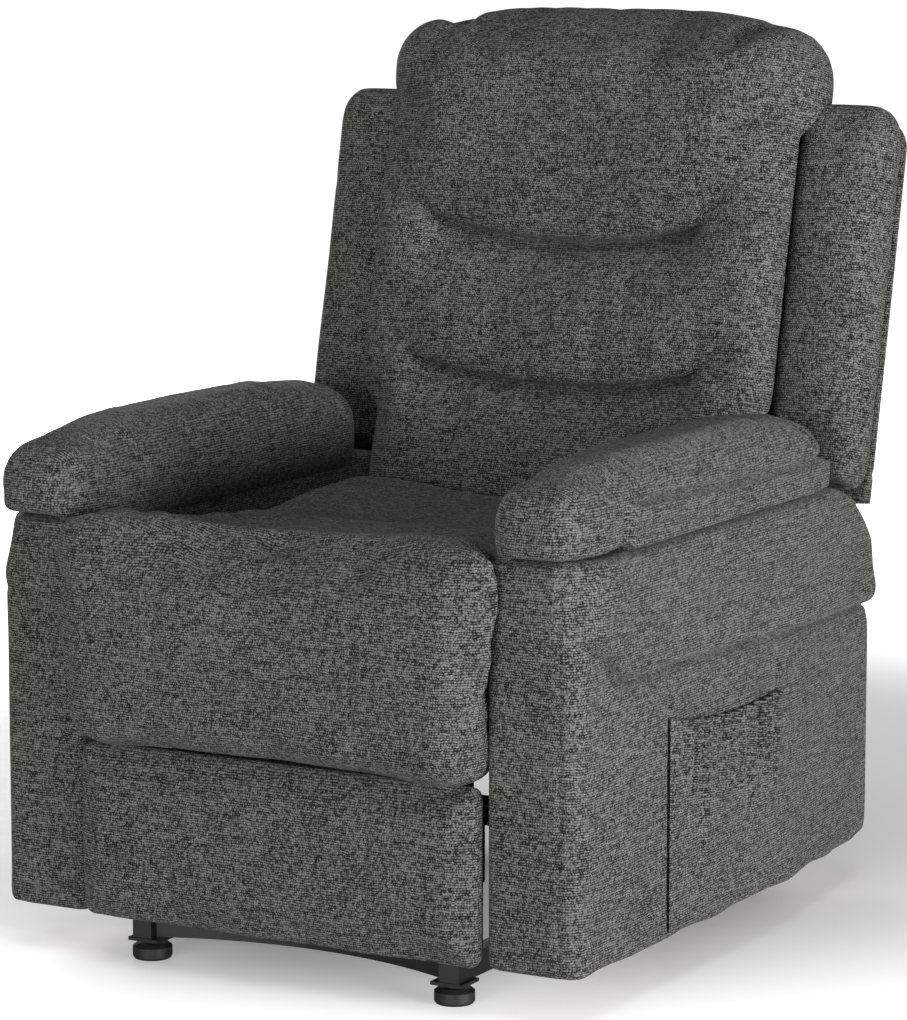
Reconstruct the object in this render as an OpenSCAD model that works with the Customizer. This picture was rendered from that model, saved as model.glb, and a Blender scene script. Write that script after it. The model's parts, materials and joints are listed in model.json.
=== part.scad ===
// Recliner armchair: a fixed seat between two padded arms on a low steel floor frame,
// a back that reclines about two pins, and a footrest carried on two four-link lazy tongs.
// The chair faces -Y, +Z is up and the origin is on the floor under the middle of the chair.

/* [Seat and arms] */
// Clear width between the two arms
seat_w = 522; // [440:2:620]
// Width of one arm at its padded upper part
arm_w = 129; // [125:1:160]
// Step from the padded upper part of an arm in to its flat lower panel
arm_step = 10; // [4:1:14]
// Distance of the arm fronts ahead of the origin
arm_front = 416; // [400:2:424]
// Distance of the arm rears behind the origin
arm_rear = 405; // [350:5:420]
// Height of the arm bottoms above the floor
arm_lift = 52; // [48:1:70]
// Height of the seam under the padded upper part of an arm
arm_seam_z = 365; // [330:5:400]
// Height of the arm pads above the arm tops
pad_h = 112; // [80:2:140]
// Length of the arm pads
pad_len = 620; // [500:10:640]
// Height of the front crest of the seat
seat_crest_z = 520; // [500:2:540]
// Height of the seat where it dips in front of the back
seat_dip_z = 474; // [450:2:490]

/* [Back] */
// Distance of the recline pins behind the origin
hinge_y = 215; // [200:1:225]
// Height of the recline pins
hinge_z = 300; // [290:1:310]
// Lean of the upright back
back_tilt = 12.5; // [8:0.5:16]
// Height of the top of the head roll above the pins, along the back
back_len = 779; // [740:1:940]
// Height of the wing tops above the pins, along the back
wing_len = 680; // [620:1:690]
// Width over both wings
wing_span = 772; // [700:2:780]
// Radius of the arm rear corner about the recline pins
arm_arc = 212; // [206:1:216]
// Gap between that corner and the wings
wing_gap = 6; // [4:1:12]

/* [Footrest] */
// Gap between the footrest panel and each arm
panel_gap = 4; // [3:1:8]
// Height of the closed footrest panel's bottom edge
panel_low = 54; // [52:1:72]
// Height of the closed footrest panel's top edge
panel_top = 252; // [246:1:252]
// Distance of the closed footrest panel's face ahead of the origin
panel_front = 437; // [430:1:437]
// Thickness of the mechanism plates
plate_t = 4; // [3:0.2:4.8]
// Spacing of the mechanism plates
plate_pitch = 6; // [6:0.5:7]
// Half width of the mechanism links
link_r = 9; // [8:0.5:10]

/* [Floor frame] */
// Width of the square floor tube
tube_w = 25; // [20:1:30]
// Wall of the floor tube
tube_wall = 2; // [1.5:0.5:4]
// Distance of the floor tubes' outer faces from the middle
floor_half = 215; // [205:1:216]
// Length of the floor tubes
floor_len = 730; // [640:10:760]
// Distance of the floor tubes' front ends ahead of the origin
floor_front = 384; // [380:2:406]
// How far the front crossbar bows back at its middle
crossbar_bow = 40; // [20:1:60]
// Diameter of the round glides
glide_d = 46; // [36:1:50]
// Height of the round glides
glide_h = 18; // [14:1:20]

/* [Side pocket] */
// Length of the pocket along the arm
pocket_len = 280; // [200:5:320]
// Height of the pocket
pocket_h = 246; // [180:2:280]
// Depth of the space inside the pocket
pocket_deep = 8; // [6:0.5:12]

/* [Release lever] */
// Length of the recessed lever cup along the arm
cup_len = 124; // [110:1:150]
// Height of the lever cup
cup_h = 84; // [76:1:100]
// Depth of the lever cup
cup_deep = 34; // [28:1:41]

/* [Hidden] */
$fn = 64;

// Colours
cloth = [0.27, 0.27, 0.26];
cloth_dark = [0.20, 0.20, 0.20];
black_steel = [0.07, 0.07, 0.07];
zinc = [0.72, 0.72, 0.70];
timber = [0.72, 0.58, 0.40];
black_plastic = [0.05, 0.05, 0.05];
webbing_black = [0.10, 0.10, 0.10];

// Fits
run = 0.05;          // radial play of a pin in a turning hole
open_run = 0.6;      // radial play of the pivots that close the footrest loops
soft_gap = 4;        // gap between padded parts that pass each other
bolt_r = 4;
bolt_head_r = 8;
bolt_head_h = 4;
rivet_r = 4;
rivet_head_r = 7;
rivet_play = 0.4;     // gap between a rivet head and the next plate
rivet_head_h = plate_pitch - plate_t - rivet_play;
eye_step = 1.5;      // how much narrower a stamped bar is than its eyes

// Seat frame
arm_in = seat_w / 2;
panel_w = seat_w - 2 * panel_gap;
arm_out = arm_in + arm_w;
panel_x = arm_out - arm_step;
arm_top_z = hinge_z + arm_arc;
rail_out = arm_in - 8;          // outer faces of the seat side rails
rail_w = 52;
rail_in = rail_out - rail_w;
rail_low = 302;
rail_h = 40;
rail_front = 380;
rail_rear = 160;
cross_t = 40;                   // depth of the front seat rail
rear_cross_t = 30;
web_t = 3;
web_w = 44;
seat_low = rail_low + rail_h + web_t + 1;
seat_half = arm_in - soft_gap;
lobe_r = 34;
lobe_front = 450;
lobe_low = panel_top + 10;
lobe_proud = 8;                 // how far the front roll stands out past the arms' inner faces
crest_r = 62;

// Floor frame
floor_z = glide_h + 8;          // underside of the floor tubes
foot_t = 4;
glide_x = floor_half - tube_w / 2 - 2.5;
glide_front = floor_front - 15;
glide_rear = floor_len - floor_front - 30;
upright_y = [-330, 100];
upright_w = 24;
upright_t = 6;
cross_h = 26;
cross_flange = 22;
cross_wall = 3;
cross_end = 372;                // distance of the crossbar's ends ahead of the origin

// Footrest mechanism, closed, as [forward, up]
piv_a = [336.3, 253.7];         // link A on the chassis plate
jnt_ac = [287.4, 85.3];         // link C on link A
jnt_cf = [364.3, 215.8];        // footrest bracket on link C
jnt_df = [330.4, 196.2];        // link D on the footrest bracket, a closing pivot
jnt_ad = [256.5, 68.8];         // link D on link A
jnt_bc = [146.3, 94.6];         // link B on link C, a closing pivot
piv_b = piv_a + jnt_bc - jnt_ac; // link B on the chassis plate
plane_s = rail_out;                       // inner face of the chassis plate
plane_a = plane_s - plate_pitch;
plane_c = plane_a - plate_pitch;
plane_b = plane_c - plate_pitch;          // link B and the footrest bracket share a plane
plane_d = plane_b - plate_pitch;
torque_r = 9;
board_t = 18;
pad_soft_t = 25;
board_rear = panel_front - pad_soft_t - board_t;
board_edge = 10;
panel_r = 24;
flange_w = 30;

// Back
post_in = rail_in + 5;
post_w = 25;
post_d = 30;
post_y = 8;
post_low = 30;
back_front = 58;
back_half = arm_in - soft_gap;
cushion_low = 40;
clear_arm_up = 240;             // height along the back where it may pass over the arms
head_h = 124;
head_front = 66;
head_rear = 78;
head_half = arm_in + 38;
upper_half = 278;
wing_t = 92;
wing_r = 30;
shell_t = 12;
shell_y = wing_t - shell_t;
shell_low = -120;
pin_r = 6;
pin_head_r = 11;
strap_t = 4;
strap_w = 26;
strap_top = 150;
pillow_low = back_len - head_h;
post_high = pillow_low - soft_gap;

// Arm
cover_wall_in = 14;
cavity_w = 70;
cover_top = 24;
cover_front = 26;
board = 12;
post = 36;
front_round = 30;
rear_turn_in = 30;
rear_turn_len = 280;
cable_y = -104;
cable_z = 230;
cable_r = 2.5;
cable_hole_r = 7;
bracket_y = [-60, 120];
bracket_low = 232;
bracket_bolts = [-30, 90];
pocket_y = -200;
pocket_low = 62;
pocket_wall = 2;
cup_wall = 3;
cup_y = -124;
cup_z = 188;
cup_rim = 7;
cup_lip = 4;
lever_pin_r = 3;
lever_boss_r = 8;
lever_x = panel_x - 12;
lever_y = cup_y + 20;
paddle_t = 6;
paddle_len = 80;
paddle_h = 60;

// ---- helpers ----

// Draws a part on the sitter's left as it is, or mirrored on the sitter's right
module on_side(side) {
    if (side > 0) children();
    else mirror([1, 0, 0]) children();
}

// Both sides at once
module both_sides() {
    children();
    mirror([1, 0, 0]) children();
}

// An outline of [y, z] points, extruded along +X from x0
module across(x0, t) {
    translate([x0, 0, 0]) rotate([90, 0, 90]) linear_extrude(t) children();
}

// An outline of [x, z] points, extruded along +Y from y0
module along(y0, t) {
    translate([0, y0 + t, 0]) rotate([90, 0, 0]) linear_extrude(t) children();
}

// The same for mechanism points, which are [forward, up]
module plate(x0) {
    across(x0, plate_t) mirror([1, 0]) children();
}

// Stamped bar between two points: a round eye at each end and a slightly narrower waist
module bar2d(p, q, r) {
    d = q - p;
    waist = r - eye_step;
    translate(p) circle(r);
    translate(q) circle(r);
    translate(p) rotate(atan2(d[1], d[0])) translate([0, -waist]) square([norm(d), 2 * waist]);
}

// Upright bar with full round ends, from its low to its high centre
module upright2d(p, high, r) {
    translate(p) circle(r);
    translate([p[0], high]) circle(r);
    translate([p[0] - r, p[1]]) square([2 * r, high - p[1]]);
}

// Rectangle with round corners, from its low corner
module round_rect(size, r) {
    translate([r, 0]) square([size[0] - 2 * r, size[1]]);
    translate([0, r]) square([size[0], size[1] - 2 * r]);
    for (x = [r, size[0] - r], y = [r, size[1] - r]) translate([x, y]) circle(r);
}

// Cylinder along X between two x values, at [y, z]
module x_rod(x0, x1, at, r) {
    translate([x0, at[0], at[1]]) rotate([0, 90, 0]) cylinder(h = x1 - x0, r = r);
}

// Rivet through plates from x0 to x1 at a [forward, up] point, with a head at each end
module rivet(x0, x1, p) {
    at = [-p[0], p[1]];
    x_rod(x0, x1, at, rivet_r);
    x_rod(x0 - rivet_head_h, x0, at, rivet_head_r);
    x_rod(x1, x1 + rivet_head_h, at, rivet_head_r);
}

// Places something given in the back's own frame, at the recline pins
module on_back() {
    translate([0, hinge_y, hinge_z]) rotate([-back_tilt, 0, 0]) children();
}

// ---- floor frame ----

// Square steel tube along the floor, with a foot plate under each end
module floor_rail(side) {
    color(black_steel) on_side(side) {
        difference() {
            translate([floor_half - tube_w, -floor_front, floor_z]) cube([tube_w, floor_len, tube_w]);
            translate([floor_half - tube_w + tube_wall, -floor_front - 1, floor_z + tube_wall])
                cube([tube_w - 2 * tube_wall, floor_len + 2, tube_w - 2 * tube_wall]);
        }
        for (y = [-glide_front, glide_rear])
            translate([glide_x - 20, y - 20, floor_z - foot_t]) cube([40, 40, foot_t]);
    }
}

module floor_rail_left() { floor_rail(1); }
module floor_rail_right() { floor_rail(-1); }

// Plastic plugs in the tube ends
module floor_rail_caps() {
    color(black_plastic) both_sides() for (end = [-1, 1]) {
        y = end < 0 ? -floor_front : floor_len - floor_front;
        translate([floor_half - tube_w, end < 0 ? y - 3 : y, floor_z]) cube([tube_w, 3, tube_w]);
        translate([floor_half - tube_w + tube_wall, end < 0 ? y : y - 12, floor_z + tube_wall])
            cube([tube_w - 2 * tube_wall, 12, tube_w - 2 * tube_wall]);
    }
}

// Pressed angle bar that bows back between the floor tubes
module front_crossbar() {
    half = floor_half - tube_w;
    bow_r = (half * half + crossbar_bow * crossbar_bow) / (2 * crossbar_bow);
    color(black_steel) intersection() {
        translate([0, -cross_end - bow_r + crossbar_bow, floor_z]) rotate_extrude($fn = 180) {
            translate([bow_r - cross_wall, 0]) square([cross_wall, cross_h]);
            translate([bow_r - cross_wall - cross_flange, cross_h - cross_wall])
                square([cross_flange + cross_wall, cross_wall]);
        }
        translate([-half, -cross_end - 30, floor_z - 1]) cube([2 * half, crossbar_bow + 40, cross_h + 2]);
    }
}

// Straight tube between the floor rails at the back
module rear_crossbar() {
    half = floor_half - tube_w;
    color(black_steel) difference() {
        translate([-half, glide_rear - tube_w / 2, floor_z]) cube([2 * half, tube_w, tube_w]);
        translate([-half - 1, glide_rear - tube_w / 2 + tube_wall, floor_z + tube_wall])
            cube([2 * half + 2, tube_w - 2 * tube_wall, tube_w - 2 * tube_wall]);
    }
}

// Four round glides on short stems
module floor_glides() {
    color(black_plastic) both_sides() for (y = [-glide_front, glide_rear]) translate([glide_x, y, 0]) {
        cylinder(h = 3, r1 = glide_d / 2 - 2, r2 = glide_d / 2);
        translate([0, 0, 3]) cylinder(h = glide_h - 7, r = glide_d / 2);
        translate([0, 0, glide_h - 4]) cylinder(h = 4, r1 = glide_d / 2, r2 = glide_d / 2 - 5);
        cylinder(h = floor_z - foot_t, r = 9);
    }
}

// Flat steel uprights from the floor tubes to the seat rails
module chassis_uprights() {
    x = floor_half - tube_w;
    color(black_steel) both_sides() for (y = upright_y) {
        translate([x, y - upright_w / 2, floor_z + tube_w])
            cube([upright_t, upright_w, rail_low - floor_z - tube_w]);
        translate([x, y - upright_w / 2, floor_z + tube_w]) cube([tube_w, upright_w, 3]);
        translate([x, y - upright_w / 2, rail_low - 3]) cube([rail_in + 30 - x, upright_w, 3]);
    }
}

// ---- seat ----

module seat_side_rails() {
    color(timber) both_sides()
        translate([rail_in, -rail_front, rail_low]) cube([rail_w, rail_front + rail_rear, rail_h]);
}

module seat_cross_rails() {
    color(timber) for (y = [-rail_front, rail_rear - rear_cross_t]) {
        t = y < 0 ? cross_t : rear_cross_t;
        half = y < 0 ? rail_in : rail_in - strap_t;
        translate([-half, y, rail_low + 6]) cube([2 * half, t, rail_h - 6]);
    }
}

// Elastic straps from the front rail to the rear rail, on top of the timber
module seat_webbing() {
    gap = (2 * rail_in - 5 * web_w) / 4;
    color(webbing_black) for (i = [0:4])
        translate([-rail_in + i * (web_w + gap), -rail_front + 6, rail_low + rail_h])
            cube([web_w, rail_front + rail_rear - 12, web_t]);
}

// Side outline of the seat cushion: a soft top that dips to the back and a tall front roll
module seat_outline() {
    rear_slope = tan(back_tilt);
    rear_low = hinge_y - back_front / cos(back_tilt) - 2 * soft_gap
        + (seat_low - hinge_z) * rear_slope;
    rear_high = rear_low + (seat_dip_z - seat_low) * rear_slope;
    polygon([[-lobe_front + lobe_r, seat_low], [rear_low, seat_low], [rear_high, seat_dip_z],
        [-150, seat_dip_z], [-lobe_front + crest_r, seat_crest_z], [-lobe_front + lobe_r, seat_crest_z - 20]]);
    translate([-lobe_front + crest_r, seat_crest_z - crest_r]) circle(crest_r);
    upright2d([-lobe_front + lobe_r, lobe_low + lobe_r], seat_crest_z - crest_r, lobe_r);
}

module seat_cushion() {
    color(cloth) {
        across(-seat_half, 2 * seat_half) seat_outline();
        intersection() {
            across(-arm_in - lobe_proud, 2 * (arm_in + lobe_proud)) seat_outline();
            translate([-arm_in - lobe_proud, -lobe_front - 10, 0])
                cube([2 * (arm_in + lobe_proud), lobe_front + 10 - arm_front - soft_gap, 600]);
        }
    }
}

// ---- chassis plates and their fixings ----

// Steel side plate that carries links A and B, screwed to the seat side rail
module chassis_plate(side) {
    bolt_z = rail_low + rail_h / 2;
    color(black_steel) on_side(side) difference() {
        plate(plane_s) {
            translate([piv_b[0] - 40, bolt_z - 18]) round_rect([piv_a[0] - piv_b[0] + 68, 34], 10);
            bar2d(piv_a, [piv_a[0], bolt_z], 14);
            bar2d(piv_b, [piv_b[0], bolt_z], 14);
            bar2d(piv_b, [-cable_y, cable_z], 12);
        }
        for (p = [piv_a, piv_b]) x_rod(plane_s - 1, plane_s + plate_t + 1, [-p[0], p[1]], rivet_r);
        for (y = plate_bolt_y()) x_rod(plane_s - 1, plane_s + plate_t + 1, [y, bolt_z], bolt_r);
        x_rod(plane_s - 1, plane_s + plate_t + 1, [cable_y, cable_z], cable_r);
    }
}

function plate_bolt_y() = [-piv_a[0] - 8, -piv_b[0] - 60, -piv_b[0] + 24];

module chassis_plate_left() { chassis_plate(1); }
module chassis_plate_right() { chassis_plate(-1); }

// Low-headed screws through the chassis plates, arm brackets and hinge brackets into the rails
module plate_bolts() {
    bolt_z = rail_low + rail_h / 2;
    color(zinc) both_sides() {
        for (y = concat(plate_bolt_y(), bracket_bolts)) {
            x_rod(plane_s, plane_s + plate_t, [y, bolt_z], bolt_r);
            x_rod(plane_s + plate_t, plane_s + plate_t + 2, [y, bolt_z], bolt_head_r);
        }
        for (y = hinge_bolt_y()) {
            x_rod(rail_in - strap_t, rail_in, [y, bolt_z], bolt_r);
            x_rod(rail_in - strap_t - 2, rail_in - strap_t, [y, bolt_z], bolt_head_r);
        }
    }
}

function hinge_bolt_y() = [rail_rear - 90, rail_rear - 50];

// Rivets on which links A and B turn
module chassis_rivets() {
    color(zinc) both_sides() {
        rivet(plane_a, plane_s + plate_t, piv_a);
        rivet(plane_b, plane_s + plate_t, piv_b);
    }
}

// ---- arms ----

// Front outline of one arm: a flat lower panel and a fuller padded upper part
module arm_front_outline() {
    translate([arm_in, arm_lift]) square([panel_x - arm_in, arm_seam_z - arm_lift + 20]);
    translate([arm_in, arm_seam_z]) square([arm_w / 2, arm_top_z - arm_seam_z]);
    translate([arm_in, arm_seam_z]) round_rect([arm_w, arm_top_z - arm_seam_z], front_round);
}

// Side outline of one arm: its rear top corner is an arc about the recline pins
module arm_side_outline() {
    translate([-arm_front, arm_lift]) square([arm_front + hinge_y, arm_top_z - arm_lift]);
    translate([-arm_front, arm_lift]) square([arm_front + arm_rear, hinge_z - arm_lift]);
    intersection() {
        translate([hinge_y, hinge_z]) circle(arm_arc, $fn = 128);
        translate([hinge_y - 1, hinge_z - 1]) square([arm_rear - hinge_y + 1, arm_arc + 2]);
    }
}

// Plan of one arm: rounded front corners, and an outer face that turns in at the rear
module arm_plan() {
    polygon([[arm_in, -arm_front + 5], [arm_in, arm_rear], [arm_out - rear_turn_in, arm_rear],
        [arm_out, arm_rear - rear_turn_len], [arm_out, -arm_front + 60], [arm_out - 8, -arm_front + 14],
        [arm_out - 22, -arm_front], [arm_in + 5, -arm_front]]);
}

module arm_cavity(grow) {
    z = arm_top_z - cover_top;
    translate([arm_in + cover_wall_in, 0, 0]) intersection() {
        across(0, cavity_w) {
            translate([-arm_front + cover_front, arm_lift - grow])
                square([arm_front + hinge_y - cover_front, z - arm_lift + grow]);
            translate([-arm_front + cover_front, arm_lift - grow])
                square([arm_front + arm_rear - 2 * cover_front, hinge_z - arm_lift + grow]);
        }
        translate([0, -arm_front, 0]) cube([cavity_w, arm_front + arm_rear, 1000]);
    }
}

module arm_bolt_holes(x0, x1, r) {
    for (y = bracket_bolts) x_rod(x0, x1, [y, bracket_low + 20], r);
}

// Upholstered arm over its timber frame
module arm_cover(side) {
    color(cloth) on_side(side) difference() {
        intersection() {
            along(-arm_front - 1, arm_front + arm_rear + 2) arm_front_outline();
            across(arm_in - 1, arm_w + 2) arm_side_outline();
            linear_extrude(1000) arm_plan();
        }
        arm_cavity(1);
        arm_bolt_holes(arm_in - 1, arm_in + cover_wall_in + 1, bolt_r);
        if (side < 0) {
            lever_cup_block(0);
            x_rod(arm_in - 1, panel_x, [cable_y, cable_z], cable_hole_r);
        }
    }
}

module arm_cover_left() { arm_cover(1); }
module arm_cover_right() { arm_cover(-1); }

// Timber box frame inside one arm
module arm_frame(side) {
    x = arm_in + cover_wall_in;
    low = arm_lift;
    high = arm_top_z - cover_top;
    front = -arm_front + cover_front;
    rear = arm_rear - cover_front;
    color(timber) on_side(side) difference() {
        intersection() {
            arm_cavity(0);
            union() {
                for (bx = [x, x + cavity_w - board]) {
                    translate([bx, front, low]) cube([board, rear - front, 70]);
                    translate([bx, front, low]) cube([board, 70, high - low]);
                    translate([bx, bracket_y[0] - 80, low]) cube([board, 260, high - low]);
                    translate([bx, front, high - 60]) cube([board, hinge_y - front, 60]);
                }
                translate([x, front, low]) cube([cavity_w, post, high - low]);
                translate([x, rear - post, low]) cube([cavity_w, post, hinge_z - low]);
                translate([x, front, high - board]) cube([cavity_w, hinge_y - front, board]);
                translate([x, hinge_y - post, low]) cube([cavity_w, post, high - low]);
            }
        }
        arm_bolt_holes(x - 1, x + board + 1, bolt_r);
        if (side < 0) x_rod(x - 1, x + cavity_w + 1, [cable_y, cable_z], cable_hole_r);
    }
}

module arm_frame_left() { arm_frame(1); }
module arm_frame_right() { arm_frame(-1); }

// Overstuffed pad on top of one arm, overhanging its front and outer side
module arm_pad(side) {
    front = -arm_front - 9;
    reach = arm_w + 2;
    color(cloth) on_side(side) intersection() {
        along(front, pad_len) {
            translate([arm_in + 4, arm_top_z]) square([reach - 4 - pad_h / 2, pad_h]);
            translate([arm_in + 4, arm_top_z]) round_rect([reach - 4, pad_h], pad_h * 0.42);
        }
        across(arm_in, reach + 1) {
            translate([front + pad_h * 0.6, arm_top_z]) square([pad_len - pad_h * 0.6 - 20, pad_h]);
            translate([front + pad_h * 0.6, arm_top_z + pad_h * 0.4]) circle(pad_h * 0.6);
            translate([front + 60, arm_top_z]) square([pad_len - 60, pad_h * 0.8]);
        }
    }
}

module arm_pad_left() { arm_pad(1); }
module arm_pad_right() { arm_pad(-1); }

// Steel plates that hang from the seat rails and carry the arms
module arm_brackets() {
    color(black_steel) both_sides() difference() {
        translate([plane_s, bracket_y[0], bracket_low])
            cube([plate_t, bracket_y[1] - bracket_y[0], rail_low + rail_h - 4 - bracket_low]);
        arm_bolt_holes(plane_s - 1, plane_s + plate_t + 1, bolt_r);
        for (y = bracket_bolts)
            x_rod(plane_s - 1, plane_s + plate_t + 1, [y, rail_low + rail_h / 2], bolt_r);
    }
}

// Bolts and spacers between the arm brackets and the arm frames
module arm_bolts() {
    color(zinc) both_sides() for (y = bracket_bolts) {
        at = [y, bracket_low + 20];
        x_rod(plane_s - bolt_head_h, plane_s, at, bolt_head_r);
        x_rod(plane_s, arm_in + cover_wall_in + board, at, bolt_r);
        x_rod(plane_s + plate_t, arm_in, at, bolt_head_r + 2);
        x_rod(arm_in + cover_wall_in + board, arm_in + cover_wall_in + board + 5, at, bolt_head_r);
    }
}

// Open-topped cloth pocket on the sitter's left side
module side_pocket() {
    wall = pocket_wall;
    color(cloth) translate([panel_x, pocket_y, pocket_low]) difference() {
        cube([pocket_deep + wall, pocket_len, pocket_h]);
        translate([-1, wall, wall]) cube([pocket_deep + 1, pocket_len - 2 * wall, pocket_h]);
    }
}

// ---- release lever on the sitter's right side ----

// Block that the cup fills, drawn on the sitter's left and mirrored where used
module lever_cup_block(inset) {
    x = panel_x - cup_deep;
    translate([x + inset, 0, 0]) rotate([90, 0, 90]) linear_extrude(cup_deep + 20)
        translate([cup_y + inset, cup_z + inset])
            round_rect([cup_len - 2 * inset, cup_h - 2 * inset], 14 - inset);
}

// Recessed plastic cup with a rim on the arm's side
module lever_bezel() {
    color(black_plastic) on_side(-1) difference() {
        union() {
            intersection() {
                lever_cup_block(0);
                translate([0, cup_y, cup_z]) cube([panel_x + cup_lip, cup_len, cup_h]);
            }
            across(panel_x, cup_lip) translate([cup_y - cup_rim, cup_z - cup_rim])
                round_rect([cup_len + 2 * cup_rim, cup_h + 2 * cup_rim], 14 + cup_rim);
        }
        lever_cup_block(cup_wall);
        translate([lever_x, lever_y, cup_z - 10]) cylinder(h = cup_h + 20, r = lever_pin_r);
        x_rod(panel_x - cup_deep - 1, panel_x, [cable_y, cable_z], cable_r);
    }
}

module lever_pin() {
    color(zinc) on_side(-1) translate([lever_x, lever_y, cup_z]) cylinder(h = cup_h, r = lever_pin_r);
}

// Paddle that the sitter pulls out from its rear end
module release_lever() {
    mid = cup_z + cup_h / 2;
    color(black_plastic) on_side(-1) difference() {
        union() {
            translate([lever_x, lever_y, mid - paddle_h / 2 - 4]) cylinder(h = paddle_h + 8, r = lever_boss_r);
            translate([panel_x - 4, lever_y, mid - paddle_h / 2]) cube([paddle_t, paddle_len, paddle_h]);
            translate([lever_x + 2, lever_y, mid - paddle_h / 2]) cube([panel_x - lever_x - 2, 6, paddle_h]);
        }
        translate([lever_x, lever_y, cup_z - 1]) cylinder(h = cup_h + 2, r = lever_pin_r + run);
    }
}

// Cable from the lever cup through the arm to the chassis plate
module release_cable() {
    color(webbing_black) on_side(-1)
        x_rod(plane_s - 6, panel_x - cup_deep + cup_wall, [cable_y, cable_z], cable_r);
}

// ---- recline hinges ----

// Plates on the inner faces of the seat rails that hold the recline pins
module hinge_brackets() {
    z = rail_low + rail_h / 2;
    color(black_steel) both_sides() difference() {
        across(rail_in - strap_t, strap_t) {
            translate([rail_rear - 110, z - 14]) round_rect([100, 28], 8);
            bar2d([rail_rear - 30, z], [hinge_y, hinge_z], 14);
        }
        x_rod(rail_in - strap_t - 1, rail_in + 1, [hinge_y, hinge_z], pin_r);
        for (y = hinge_bolt_y()) x_rod(rail_in - strap_t - 1, rail_in + 1, [y, z], bolt_r);
    }
}

module hinge_pins() {
    color(zinc) both_sides() {
        x_rod(rail_in - strap_t, post_in, [hinge_y, hinge_z], pin_r);
        x_rod(rail_in - strap_t - 3, rail_in - strap_t, [hinge_y, hinge_z], pin_head_r);
        x_rod(post_in, post_in + 3, [hinge_y, hinge_z], pin_head_r);
    }
}

// ---- back ----

function rail_heights() = [strap_top + 18, (strap_top + post_high) / 2, post_high - 50];
function strap_bolts() = [60, 120];

module back_posts() {
    color(timber) on_back() both_sides()
        translate([post_in, post_y, post_low]) cube([post_w, post_d, post_high - post_low]);
}

module back_rails() {
    color(timber) on_back() for (up = rail_heights())
        translate([-post_in, post_y + 6, up]) cube([2 * post_in, post_d - 6, 40]);
}

// Upright straps on the front of the rails
module back_webbing() {
    gap = (2 * post_in - 4 * web_w) / 5;
    color(webbing_black) on_back() for (i = [0:3])
        translate([-post_in + gap + i * (web_w + gap), post_y + 6 - web_t, rail_heights()[0] + 2])
            cube([web_w, web_t, post_high - 14 - rail_heights()[0]]);
}

// Cushion seen from the front, in the back's frame: it widens once it is above the arms
module back_cushion_outline() {
    translate([-back_half, cushion_low]) square([2 * back_half, pillow_low - cushion_low - 2]);
    translate([-upper_half, clear_arm_up + 20])
        round_rect([2 * upper_half, pillow_low - clear_arm_up - 22], 20);
}

module back_cushion() {
    color(cloth) on_back() intersection() {
        along(-back_front - 10, back_front + 10 + post_y - 6) back_cushion_outline();
        across(-upper_half - 1, 2 * upper_half + 2) {
            upright2d([-back_front + 20, cushion_low + 20], pillow_low - 22, 20);
            translate([-back_front + 20, cushion_low])
                square([back_front + post_y - 26, pillow_low - cushion_low - 2]);
            upright2d([-back_front + 42, 300], pillow_low - 60, 50);
        }
    }
}

// Soft roll across the top of the back
module head_pillow() {
    color(cloth) on_back() intersection() {
        along(-head_front, head_front + head_rear)
            translate([-head_half, pillow_low]) round_rect([2 * head_half, head_h], 44);
        across(-head_half, 2 * head_half)
            translate([-head_front, pillow_low]) round_rect([head_front + head_rear, head_h], 50);
    }
}

// Side outline of a wing, in the back's frame; its foot is an arc about the pins
module wing_outline() {
    difference() {
        translate([-5, clear_arm_up - 100]) round_rect([wing_t - shell_t + 5, wing_len - clear_arm_up + 100], wing_r);
        circle(arm_arc + wing_gap, $fn = 128);
    }
}

module back_wing(side) {
    x0 = upper_half + soft_gap;
    color(cloth) on_back() on_side(side) intersection() {
        across(arm_in, wing_span / 2 - arm_in) wing_outline();
        along(-6, wing_t + 7) difference() {
            translate([post_in + post_w + 2, 100])
                round_rect([wing_span / 2 - post_in - post_w - 2, wing_len - 100], wing_r);
            translate([0, 0]) square([arm_in, 2000]);
        }
        union() {
            translate([head_half + soft_gap, -10, 0]) cube([200, 200, 1000]);
            translate([x0, -10, 0]) cube([head_half + soft_gap - x0 + 1, 200, pillow_low - 2]);
            translate([0, post_y, 0]) cube([x0 + 1, 200, pillow_low - 2]);
        }
    }
}

module back_wing_left() { back_wing(1); }
module back_wing_right() { back_wing(-1); }

// Upholstered rear panel: narrow between the arms, full width above them
module back_shell() {
    top = wing_len - 10;
    color(cloth_dark) on_back() difference() {
        along(shell_y, shell_t) {
            translate([-back_half, shell_low]) square([2 * back_half, top - shell_low]);
            translate([-wing_span / 2 + 2, clear_arm_up - 40])
                round_rect([wing_span - 4, top - clear_arm_up + 40], 40);
        }
        both_sides() across(back_half, wing_span) circle(arm_arc + wing_gap, $fn = 128);
    }
}

// Steel straps that hang the posts on the recline pins
module back_hinge_straps() {
    color(black_steel) on_back() both_sides() difference() {
        across(post_in - strap_t, strap_t)
            {
                bar2d([0, 0], [post_y + 12, 40], strap_w / 2);
                bar2d([post_y + 12, 40], [post_y + 12, strap_top], strap_w / 2);
            }
        x_rod(post_in - strap_t - 1, post_in + 1, [0, 0], pin_r + run);
        for (up = strap_bolts()) x_rod(post_in - strap_t - 1, post_in + 1, [post_y + 12, up], bolt_r);
    }
}

module back_bolts() {
    color(zinc) on_back() both_sides() for (up = strap_bolts()) {
        x_rod(post_in - strap_t, post_in, [post_y + 12, up], bolt_r);
        x_rod(post_in - strap_t - 2, post_in - strap_t, [post_y + 12, up], bolt_head_r);
    }
}

// ---- footrest links ----

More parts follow.
